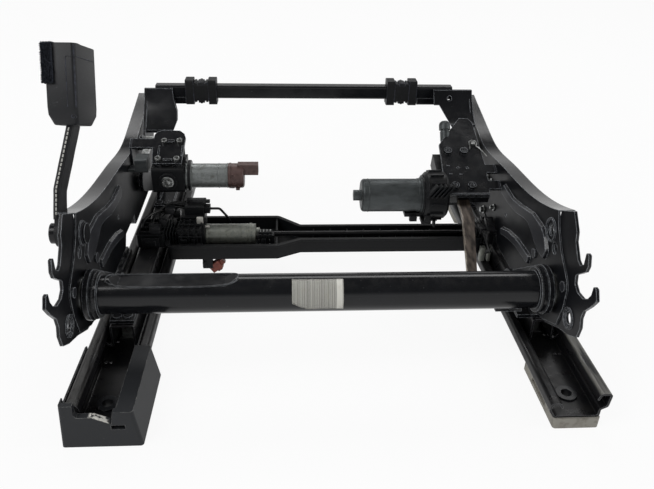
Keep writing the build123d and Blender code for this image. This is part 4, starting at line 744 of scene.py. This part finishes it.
class SEATBASE_OT_buckle(bpy.types.Operator):
    """Adds the buckle's outer shell, felt pad and seams, and the stitched sleeve of its strap"""
    bl_idname = "seatbase.buckle"
    bl_label = "Buckle details"

    def execute(self, context):
        size = sizes()
        place = buckle_matrix()
        # the felt pad's two corners in the buckle's own frame
        low, high = Vector((-0.0163, -0.0238, 0.0375)), Vector((-0.0060, 0.0135, 0.0732))

        def shell(shape):
            corner = 3.5
            rings = []
            # height, half width and half depth of each section, in millimetres
            for z, wide, deep in (
                (-0.4, 11.3, 15.2), (0.3, 12.2, 16.2), (9.0, 14.6, 21.6), (16.0, 15.0, 22.1),
                (72.9, 15.0, 22.1), (73.6, 14.6, 21.7),
            ):
                ring = []
                for i, (x, y) in enumerate(((1, 1), (-1, 1), (-1, -1), (1, -1))):
                    for j in range(6):
                        turn = math.radians(90 * i + 18 * j)
                        spot = Vector((
                            x * (wide - corner) + corner * math.cos(turn),
                            y * (deep - corner) + corner * math.sin(turn), z))
                        ring.append(place @ (spot * MM))
                rings.append(ring)
            skin(shape, rings)

        fitting("buckle_shell", "buckle", "buckle_plastic", shell, 30)

        def pad(shape):
            rounded_block(shape, low, high, 0.003)
            bmesh.ops.subdivide_edges(shape, edges=shape.edges[:], cuts=5, use_grid_fill=True)
            for v in shape.verts:
                v.co += v.normal * 0.0005 * noise.noise(v.co * 420)
            bmesh.ops.transform(shape, matrix=place, verts=shape.verts)

        fitting("buckle_pad", "buckle", "stalk_sleeve", pad, 80, "needle_felt")

        places = []
        golden = 0.6180339
        for i in range(size.pad_hairs):
            # even spots over the pad's three outer faces, by the golden ratio
            a = low.lerp(high, (i + 0.5) / size.pad_hairs)
            b = low.lerp(high, (i * golden) % 1.0)
            spot, out = (
                (Vector((b.x, low.y, a.z)), Vector((0, -1, 0))),
                (Vector((low.x, b.y, a.z)), Vector((-1, 0, 0))),
                (Vector((b.x, a.y, high.z)), Vector((0, 0, 1))),
            )[i % 3]
            out += Vector((noise.noise(spot * 900), noise.noise(spot * 900 + Vector((7, 0, 0))), 0.0)) * 0.9
            places.append((place @ spot, place.to_3x3() @ out))

        def tuft(tree, source):
            return add_node(tree, "GeometryNodeMeshCone", {
                "Vertices": 4, "Radius Bottom": 0.00055, "Radius Top": 0.00025,
                "Depth": source.outputs["Size"]}).outputs["Mesh"]

        values = {"Size": size.pad_pile}
        tree = scattered_tree("felt_pile", values, tuft)
        grown("buckle_pad_pile", tree, places, values, "buckle", "stalk_sleeve", "needle_felt")

        def seams(shape):
            rear, front, right = -SHELL_HALF.y, SHELL_HALF.y, SHELL_HALF.x
            for path, radius in (
                ([(0.0062, rear, 0.016), (0.0062, rear, 0.0615), (right - 0.0035, rear, 0.0615)], 0.00035),
                ([(right, rear + 0.0035, 0.0615), (right, front - 0.005, 0.0615)], 0.00035),
                ([(right - 0.0010, rear + 0.0010, 0.015), (right - 0.0010, rear + 0.0010, 0.072)], 0.0009),
            ):
                swept(shape, [place @ Vector(p) for p in path], radius, 8)
            screw = place @ Vector((right - 0.0040, rear + 0.0014, 0.0075))
            rearwards = place.to_3x3() @ Vector((0, -1, 0))
            turned(shape, screw / MM, rearwards, [(-1, 2.4), (0.5, 2.4), (0.9, 1.8), (0.2, 1.2)], 20)

        fitting("buckle_seams", "buckle", "buckle_plastic", seams, finish="clip_rubber")

        across = Vector((0, math.cos(STRAP_SLOPE), -math.sin(STRAP_SLOPE)))

        def sleeve(shape):
            rings = []
            steps, sides = 44, 28
            low_end, reach = 0.013, 0.0915
            # the section is a rounded oblong: the power pulls a circle towards its corners
            power, deep = 0.45, 0.0036
            for i in range(steps + 1):
                t = i / steps
                middle = strap_point(low_end + reach * t)
                wide = 0.0120 + 0.0006 * noise.noise(Vector((t * 6, 0, 0)))
                ring = []
                for j in range(sides):
                    turn = math.tau * j / sides
                    c = math.copysign(abs(math.cos(turn)) ** power, math.cos(turn))
                    q = math.copysign(abs(math.sin(turn)) ** power, math.sin(turn))
                    ring.append(middle + across * wide * c + Vector((deep * q, 0, 0)))
                rings.append(ring)
            skin(shape, rings)

        fitting("strap_sleeve", "buckle", "stalk_sleeve", sleeve, 60)

        def stitches(shape):
            first, seam = 0.017, 0.084
            for i in range(int(seam / size.stitch_pitch)):
                s = first + i * size.stitch_pitch
                ends = [strap_point(s + d) for d in (0, 0.0014, 0.0028)]
                ends = [end - across * 0.0121 + Vector((0.0003, 0, 0)) for end in ends]
                ends[1] -= across * 0.0003
                swept(shape, ends, 0.0007, 6)

        fitting("strap_stitches", "buckle", "stalk_sleeve", stitches, 80, "stitching_thread")
        return {"FINISHED"}


def plate_matrix(y, z, slope):
    """From a sloping plate's own millimetre frame (across, up the slope, off its face) to the model."""
    return Matrix.Translation((0, y * MM, z * MM)) @ Matrix.Rotation(math.radians(slope), 4, "X")


class SEATBASE_OT_motors(bpy.types.Operator):
    """Adds the seams, lips, terminals and fins of the three motors"""
    bl_idname = "seatbase.motors"
    bl_label = "Motor details"

    def execute(self, context):
        # each motor's axis runs along X: its Y and Z in millimetres
        tilt, height, slide = (75, 120), (17, 119), (40, 54)

        def seams(rings):
            def build(shape):
                for left, right, centre, radius in rings:
                    wide = right - left
                    turned(shape, (left, *centre), (1, 0, 0), [
                        (0, radius - 1.5), (0, radius), (0.4, radius + 0.3), (wide - 0.4, radius + 0.3),
                        (wide, radius), (wide, radius - 1.5)], 48)
            return build

        fitting("tilt_can_seams", "seat_frame", "galvanised_can", seams((
            (-138.6, -137.2, tilt, 15.5), (-128.2, -126.4, tilt, 15.5))))
        fitting("slide_can_seams", "carriage", "galvanised_can", seams((
            (-154.8, -152.6, slide, 13.1), (-103.2, -102.0, slide, 13.1))))
        fitting("height_can_seams", "seat_frame", "grey_can", seams((
            (46.0, 47.2, height, 20.1), (106.5, 110.0, height, 20.3), (110.2, 113.6, height, 21.6))))
        fitting("tilt_case_lip", "seat_frame", "black_plastic", seams((
            (-176.0, -172.6, tilt, 19.6), (-180.4, -178.4, tilt, 18.4))))

        def cap(shape):
            turned(shape, (-125.0, *tilt), (1, 0, 0), [(0, 15.0), (0, 16.3), (2.4, 16.3), (2.8, 15.0)], 48)
            for angle, x in ((200, -118), (228, -113), (160, -120), (250, -121)):
                turn = math.radians(angle)
                out = Vector((0, math.cos(turn), math.sin(turn)))
                spot = Vector((x, *tilt)) + out * 15.2
                turned(shape, spot, out, [(-1.5, 2.6), (0.6, 2.6), (1.1, 2.1), (1.1, 1.3), (0.2, 1.3)], 18)
            # lugs moulded on the cap
            blocks(shape, (
                ((-117, 66, 103.2), (-112, 72, 106.5)), ((-110, 76, 103.4), (-107, 82, 107)),
                ((-112, 70, 131), (-105, 80, 134.5))))

        fitting("tilt_cap_bosses", "seat_frame", "brown_plastic", cap)

        def boss(shape):
            rearwards = (0, -1, 0)
            turned(shape, (-200, 54.5, 120), rearwards, (
                (0, 7.6), (1.2, 7.6), (1.6, 7.0), (1.6, 5.6), (0.6, 5.2), (0.6, 3.6), (2.4, 3.2), (2.8, 2.2),
            ), 28)
            for i in range(6):
                turn = math.tau * i / 6
                spot = Vector((-200 + 5.4 * math.cos(turn), 54.0, 120 + 5.4 * math.sin(turn)))
                turned(shape, spot, rearwards, [(0, 0.9), (2.0, 0.9), (2.3, 0.6)], 10)

        fitting("tilt_case_boss", "seat_frame", "bright_zinc", boss)

        def bars(shape):
            on_plate = plate_matrix(57, 138.5, 26)
            long_bars = (((-204, 37.8, 2.6), (-193, 42.2, 5.6)), ((-205, 8.2, 2.6), (-193.5, 11.6, 4.6)))
            blocks(shape, long_bars, 0.9, on_plate)
            for x in (-211.5, -182.5):
                blocks(shape, [((x - 1.2, 16, 2.6), (x + 1.2, 34, 4.0))], 0.6, on_plate)

        fitting("tilt_plate_bars", "seat_frame", "frame_coat", bars)

        def brushes(shape):
            # the holder, its lid and a rib, and three lugs for the terminals
            blocks(shape, (
                ((-90.5, 24, 42), (-68.5, 35.5, 60)), ((-88, 26, 60), (-71, 34, 63.5)),
                ((-84, 21, 44), (-79, 24.5, 56))))
            for i in range(3):
                blocks(shape, [((-88 + i * 6.4, 22.6, 57), (-84.6 + i * 6.4, 24.4, 62))], 0.3)

        fitting("slide_brush_holder", "carriage", "black_plastic", brushes)

        def terminals(shape):
            # three pairs of blades behind, and four on top
            for i in range(3):
                x = i * 6.4
                for j in range(2):
                    z = j * 6.5
                    blocks(shape, [((-87.6 + x, 22.9, 45 + z), (-86.2 + x, 24.2, 48.6 + z))], 0.25)
            for i in range(4):
                blocks(shape, [((-86.5 + i * 4.2, 27, 63.2), (-85.2 + i * 4.2, 32, 64.6))], 0.25)

        fitting("slide_terminals", "carriage", "bright_zinc", terminals)

        def fins(shape):
            lean = Matrix.Rotation(math.radians(38), 4, "Y")
            for i in range(5):
                place = Matrix.Translation((0.119 + i * 0.0052, -0.0115, 0.137))
                blocks(shape, [((-1.0, -3.5, -9.5), (1.0, 4.5, 9.5))], 0.5, place @ lean)
            # housings under the fins, and the gear case's rim round the motor's end
            blocks(shape, (
                ((92, 6, 94.5), (118, 20, 99.5)), ((98, 2, 90), (107, 8, 97)),
                ((112, -2, 88.5), (124, 12, 93)), ((126, -6, 86), (128.5, 2, 95)),
                ((114, -9.8, 96), (121, -7, 104))))
            turned(shape, (114, 17, 119), (-1, 0, 0), [(0, 24.4), (1.8, 24.4), (2.2, 23.8), (2.2, 21)], 48)

        fitting("height_case_fins", "seat_frame", "black_plastic", fins)
        return {"FINISHED"}


class SEATBASE_OT_slide_drive(bpy.types.Operator):
    """Adds the ribs, latches, wires and small connectors round the slide drive"""
    bl_idname = "seatbase.slide_drive"
    bl_label = "Slide drive details"

    def execute(self, context):
        def ribs(shape):
            # ribs of both gear cases, left and right
            for side in (-1, 1):
                for i in range(5):
                    x = side * 205.5 - side * i * 3.6
                    blocks(shape, [((x - 0.7, 19 + i, 47.2), (x + 0.7, 61 - i, 67.5 - i * 0.8))], 0.4)
                for i in range(4):
                    y = 21 + i * 11.0
                    low, high = sorted((side * 236, side * 206))
                    blocks(shape, [((low, y, 64.6), (high, y + 1.6, 68.5))], 0.5)
                low, high = sorted((side * 232, side * 211))
                latch = ((low + 4, 13.2, 52), (high - 4, 15, 58.5))
                blocks(shape, [((low, 14.6, 49), (high, 16.2, 62)), latch])
            # ribs and latches of the motor's case
            blocks(shape, (
                ((-186, 18.6, 44), (-183.4, 21.6, 66)), ((-176, 18.6, 44), (-173.6, 21.6, 66)),
                ((-166, 18.6, 44), (-163.8, 21.6, 66)), ((-187, 18.4, 60), (-158, 20.6, 62)),
                ((-187, 18.4, 50), (-158, 20.6, 51.8)), ((-184, 16.4, 53), (-177, 19.5, 58.5)),
                ((-171, 16.8, 53), (-167, 19.5, 58.5)), ((-187.5, 30, 69.6), (-157, 32, 73.5)),
                ((-187.5, 42, 69.6), (-157, 43.6, 72)),
            ), 0.45)

        fitting("slide_case_ribs", "carriage", "black_plastic", ribs)

        def wires(shape):
            # four short wires, a bundle of eight longer ones, and two thicker ones
            for dy, dz, reach in ((0, 0, 0), (3.2, 1.4, -5), (-2.6, 2.2, 4), (1.2, 4.6, 9)):
                wire(shape, (
                    (-182, 60 + dy, 80 + dz), (-190 - reach, 61 + dy, 83 + dz),
                    (-203 - reach, 55 + dy, 82 - dz), (-213, 46 + dy, 74 + dz), (-216 + dz, 40 + dy, 66),
                ), 1.25)
            for i in range(8):
                a = i / 7
                wire(shape, (
                    (-178 - 3 * a, 62 + 4 * a, 78 + 8 * a), (-192 - 6 * a, 66 - 4 * a, 84 + 6 * a),
                    (-208 - 6 * a, 60 - 8 * a, 84 - 2 * a), (-222 + 2 * a, 44 - 10 * a, 74 + 2 * a),
                    (-228 + 8 * a, 30 - 4 * a, 60),
                ), 1.3)
            for path in (
                [(-205, 60, 66), (-196, 68, 76), (-186, 72, 84), (-172, 70, 88), (-160, 66, 86)],
                [(-228, 30, 66), (-232, 24, 76), (-226, 30, 84), (-214, 44, 86), (-206, 54, 80)],
            ):
                wire(shape, path, 1.5)

        fitting("drive_wires", "carriage", "lead_sleeve", wires)

        def holders(shape):
            # clips and connectors over the left gear case and by the right one
            blocks(shape, (
                ((-176, 62, 84), (-156, 72, 90.5)), ((-180, 64, 86), (-174, 70, 92.5)),
                ((-157, 64.5, 85.5), (-151, 69.5, 89.5)), ((-206, 48, 78), (-195, 60, 86)),
                ((-222, 20, 65), (-209, 32, 74)), ((-212, 34, 66), (-204, 40, 78)),
                ((-199, 62, 66), (-190, 74, 74)), ((192.5, 16, 64), (201, 30, 72)),
                ((188.6, 30, 60), (196, 44, 66)), ((203, 20, 65), (212, 34, 70)),
            ), 1.0)
            # a connector that lies at a slant
            slope = Matrix.Translation((0.2065, 0.020, 0.0745)) @ Matrix.Rotation(math.radians(24), 4, "X")
            blocks(shape, [((-6, -12, -3), (4, 12, 3)), ((-4, -4, 2.6), (2, 9, 4.6))], 1.0, slope)

        fitting("harness_clips", "carriage", "black_plastic", holders, finish="black_plug_plastic")

        def tangle(shape):
            for i in range(7):
                a = i / 6
                wire(shape, (
                    (206 - 5 * a, 14 + 3 * a, 66 + 3 * a), (201 - 7 * a, 4 + 6 * a, 74 - 3 * a),
                    (196 + 4 * a, -4 + 9 * a, 64 - 6 * a), (203 - 3 * a, -8 + 5 * a, 50 + 4 * a),
                    (207 - 8 * a, 4, 46 - 4 * a),
                ), 1.3)

        fitting("right_gear_case_wires", "carriage", "lead_sleeve", tangle)

        def seal(shape):
            blocks(shape, (
                ((-166.0, 38, 68.0), (-158.0, 42, 78.0)), ((-156.0, 32.5, 67.0), (-149.5, 34.5, 69.4))), 0.8)

        fitting("pale_seal", "carriage", "buckle_plastic", seal, finish="pale_plug_plastic")

        def ovals(shape):
            blocks(shape, [((192.6, 2, 31.5), (199.4, 9, 52)), ((202.4, 2, 31.5), (206.6, 9, 53))], 2.0)

        fitting("rail_end_guides", "carriage", "galvanised_can", ovals)

        def clips(shape):
            # a strip with three latches, and the wire behind it
            blocks(shape, (
                ((-255.5, -32, 41.0), (-246, 18, 46.5)), ((-254, -24, 46.2), (-248, -12, 51)),
                ((-254, -4, 46.2), (-248, 10, 52)), ((-253, 12, 46), (-249, 16, 50.5)),
            ), 0.9)
            wire(shape, [(-251, -30, 45), (-253, -48, 46), (-256, -66, 43.5), (-257, -92, 43.5)], 1.4)

        fitting("rail_clip", "floor_rails", "black_plastic", clips, finish="black_plug_plastic")
        return {"FINISHED"}


class SEATBASE_OT_height_plate(bpy.types.Operator):
    """Adds the spindle end, spring clip, folds and bolts at the height drive's plate"""
    bl_idname = "seatbase.height_plate"
    bl_label = "Height plate details"

    def execute(self, context):
        on_plate = plate_matrix(15, 120.5, 23)

        def spindle_end(shape):
            turned(shape, (158, 97, 139), (-0.02, 0.54, 0.84), (
                (0, 5.4), (18, 5.4), (18.6, 6.4), (31, 6.4), (31.6, 5.6), (33, 5.6), (33.6, 7.4),
                (40, 7.4), (43, 6.4), (45, 4.0)))

        fitting("height_spindle_end", "seat_frame", "grey_can", spindle_end)

        def spring(shape):
            # a wire looped round its pin
            middle = Vector((190, 84, 5.2))
            turns = [math.radians(-60 + i * 30) for i in range(10)]
            loop = [middle + Vector((5.2 * math.cos(t), 5.2 * math.sin(t), 0)) for t in turns]
            path = [Vector((204, 60, 5.2)), Vector((198, 74, 5.2))] + loop + [Vector((184.5, 74, 4.6))]
            wire(shape, [on_plate @ (p * MM) / MM for p in path], 0.85)
            pin = on_plate @ (Vector((190, 84, 2.6)) * MM) / MM
            turned(shape, pin, on_plate.to_3x3() @ Vector((0, 0, 1)), [(0, 3.0), (3.4, 3.0), (4.4, 2.0)], 20)

        fitting("plate_spring_clip", "seat_frame", "bright_zinc", spring)

        def bolts(shape):
            # the bolts' height and depth on the frame's web, and the radius of each head
            for y, z, radius in ((60, 116, 3.6), (74, 70, 3.8), (76, 116, 2.2), (36, 92, 2.6)):
                turned(shape, (212.8, y, z), (-1, 0, 0), (
                    (-0.4, radius + 2), (1.0, radius + 2), (1.4, radius + 1.6), (1.4, radius),
                    (4.6, radius), (5.4, radius - 0.8)), 24)

        fitting("frame_bolts", "seat_frame", "bright_zinc", bolts)

        def folds(shape):
            # the plate's turned edge and three raised bars
            blocks(shape, (
                ((145.5, -3.4, -11.5), (197, -0.4, 2.8)), ((150, 45, 2.7), (154, 46.4, 3.5)),
                ((164, 30, 2.7), (168, 31.4, 3.5)), ((151, 31, 2.7), (155, 32.4, 3.5)),
            ), 0.4, on_plate)

        fitting("plate_folds", "seat_frame", "frame_coat", folds)
        return {"FINISHED"}


class SEATBASE_OT_tube_rim(bpy.types.Operator):
    """Adds the raised rim round the pressed flat of the torque tube"""
    bl_idname = "seatbase.tube_rim"
    bl_label = "Tube rim"

    def execute(self, context):
        # the flat's two ends and its depth
        left, right, depth = SEAT_X - 0.196, SEAT_X - 0.094, 0.0035
        middle, reach = (left + right) / 2, (right - left) / 2 + 0.012
        half_turn = math.acos((TUBE_RADIUS - depth) / TUBE_RADIUS)
        lift = TUBE_RADIUS + 0.0001

        def rim(shape):
            path = []
            steps = 60
            # the power pulls the round path towards the flat's corners
            power = 0.55
            for i in range(steps):
                t = math.tau * i / steps
                wide = math.copysign(abs(math.sin(t)) ** power, math.sin(t))
                long = math.copysign(abs(math.cos(t)) ** power, math.cos(t))
                turn = half_turn * 1.06 * wide
                path.append(Vector((
                    middle + reach * long, TUBE.y - lift * math.sin(turn), TUBE.z + lift * math.cos(turn))))
            swept(shape, path, 0.0009, 10, True)

        fitting("tube_flat_rim", "rear_links", "frame_coat", rim, 80)
        return {"FINISHED"}


class SEATBASE_OT_clips(bpy.types.Operator):
    """Adds the ribs between the lobes of the front tube's clips"""
    bl_idname = "seatbase.clips"
    bl_label = "Clip ribs"

    def execute(self, context):
        def ribs(shape):
            for centre in (-168.3, 109.6):
                for dx, low, high in ((-7.6, 179.5, 206.5), (0, 177.6, 207.6), (7.6, 179.5, 206.5)):
                    x = centre + dx
                    blocks(shape, [((x - 1.7, 190.4, low), (x + 1.7, 209.6, high))], 1.1)

        fitting("clip_ribs", "front_tilt", "clip_rubber", ribs)
        return {"FINISHED"}


def in_view(tree, in_gloss):
    """1 where the camera looks straight at something, and in_gloss where a glossy surface mirrors it."""
    path = add_node(tree, "ShaderNodeLightPath").outputs
    seen = joined(tree, path["Is Camera Ray"], path["Is Transmission Ray"], operation="MAXIMUM")
    return joined(tree, seen, joined(tree, path["Is Glossy Ray"], in_gloss), operation="MAXIMUM")


class SEATBASE_OT_stage(bpy.types.Operator):
    """Adds the floor, the lights, the world and the camera"""
    bl_idname = "seatbase.stage"
    bl_label = "Stage"

    def execute(self, context):
        scene = context.scene
        white = (1, 1, 1, 1)
        half = sizes().backdrop / 2
        shape = bmesh.new()
        corners = ((-half, -half), (half, -half), (half, half), (-half, half))
        shape.faces.new([shape.verts.new((x, y, -0.0002)) for x, y in corners])
        ground = plain_mesh("studio_floor", shape)
        floor = bpy.data.objects.new("studio_floor", ground)
        scene.collection.objects.link(floor)
        paper = bpy.data.materials.new("studio_paper")
        paper.use_nodes = True
        tree = paper.node_tree
        tree.nodes.clear()
        shaded = add_node(tree, "ShaderNodeBsdfDiffuse", {"Color": (0.80, 0.80, 0.80, 1)}).outputs[0]
        bright = add_node(tree, "ShaderNodeEmission", {"Color": white, "Strength": 1.0}).outputs[0]
        share = joined(tree, in_view(tree, 0.64), 0.92)
        both = add_node(tree, "ShaderNodeMixShader", {0: share, 1: shaded, 2: bright}).outputs[0]
        add_node(tree, "ShaderNodeOutputMaterial", {"Surface": both})
        ground.materials.append(paper)

        world = bpy.data.worlds.new("studio_world")
        world.use_nodes = True
        scene.world = world
        tree = world.node_tree
        tree.nodes.clear()
        way = add_node(tree, "ShaderNodeTexCoord").outputs["Generated"]
        rise = add_node(tree, "ShaderNodeSeparateXYZ", {"Vector": way}).outputs["Z"]
        # what is seen is white near the horizon and dark overhead; what lights the object is even
        ceiling = stepped(tree, rise, 0.12, 0.45, 1.0, 0.06)
        # sockets 2 and 3 are the node's two levels, and 0 is the share of the second
        level = {0: in_view(tree, 0.8), 2: 0.42, 3: ceiling}
        sky = add_node(tree, "ShaderNodeMix", level, data_type="FLOAT").outputs[0]
        light = add_node(tree, "ShaderNodeBackground", {"Color": white, "Strength": sky}).outputs[0]
        add_node(tree, "ShaderNodeOutputWorld", {"Surface": light})

        aim = Vector((0, 0, 0.1))
        for name, place, size, power in (
            ("window_left", (-1.5, -0.9, 1.9), (1.1, 1.6), 24),
            ("window_far", (0.1, 1.9, 2.35), (2.8, 0.8), 24),
            ("bounce_right", (1.9, -0.4, 1.0), (0.9, 1.4), 9),
        ):
            lamp = bpy.data.lights.new(name, "AREA")
            lamp.shape = "RECTANGLE"
            lamp.size, lamp.size_y = size
            lamp.energy = power
            holder = bpy.data.objects.new(name, lamp)
            holder.location = place
            holder.rotation_euler = (aim - Vector(place)).to_track_quat("-Z", "Y").to_euler()
            scene.collection.objects.link(holder)

        lens = bpy.data.cameras.new("photo_camera")
        lens.sensor_width = 36.0
        lens.lens = 36.0 * FOCAL_PIXELS / PHOTO_WIDTH
        lens.clip_start, lens.clip_end = 0.01, 60.0
        camera = bpy.data.objects.new("photo_camera", lens)
        axes = Matrix((CAMERA_RIGHT, CAMERA_UP, -CAMERA_AHEAD)).transposed()
        camera.matrix_world = Matrix.Translation(CAMERA_PLACE) @ axes.to_4x4()
        scene.collection.objects.link(camera)
        scene.camera = camera
        scene.view_settings.view_transform = "Standard"
        return {"FINISHED"}


class SEATBASE_PT_panel(bpy.types.Panel):
    bl_idname = "SEATBASE_PT_panel"
    bl_label = "Seat base"
    bl_space_type = "VIEW_3D"
    bl_region_type = "UI"
    bl_category = "Seat base"

    def draw(self, context):
        for group in (context.scene.seat_base_sizes, context.scene.seat_base_colours):
            for key in group.__annotations__:
                self.layout.prop(group, key)
        for step in STEPS:
            self.layout.operator(step.bl_idname)


STEPS = (
    SEATBASE_OT_finishes, SEATBASE_OT_label, SEATBASE_OT_welds, SEATBASE_OT_tube_rim, SEATBASE_OT_buckle,
    SEATBASE_OT_motors, SEATBASE_OT_slide_drive, SEATBASE_OT_height_plate, SEATBASE_OT_clips,
    SEATBASE_OT_stage,
)
CLASSES = (SeatBaseColours, SeatBaseSizes, *STEPS, SEATBASE_PT_panel)


def register():
    for made in CLASSES:
        bpy.utils.register_class(made)
    bpy.types.Scene.seat_base_colours = PointerProperty(type=SeatBaseColours)
    bpy.types.Scene.seat_base_sizes = PointerProperty(type=SeatBaseSizes)


def unregister():
    del bpy.types.Scene.seat_base_sizes
    del bpy.types.Scene.seat_base_colours
    for made in reversed(CLASSES):
        bpy.utils.unregister_class(made)


def main():
    register()
    for step in STEPS:
        area, call = step.bl_idname.split(".")
        if getattr(getattr(bpy.ops, area), call)() != {"FINISHED"}:
            raise RuntimeError(step.bl_idname + " did not finish")


if __name__ == "__main__":
    main()
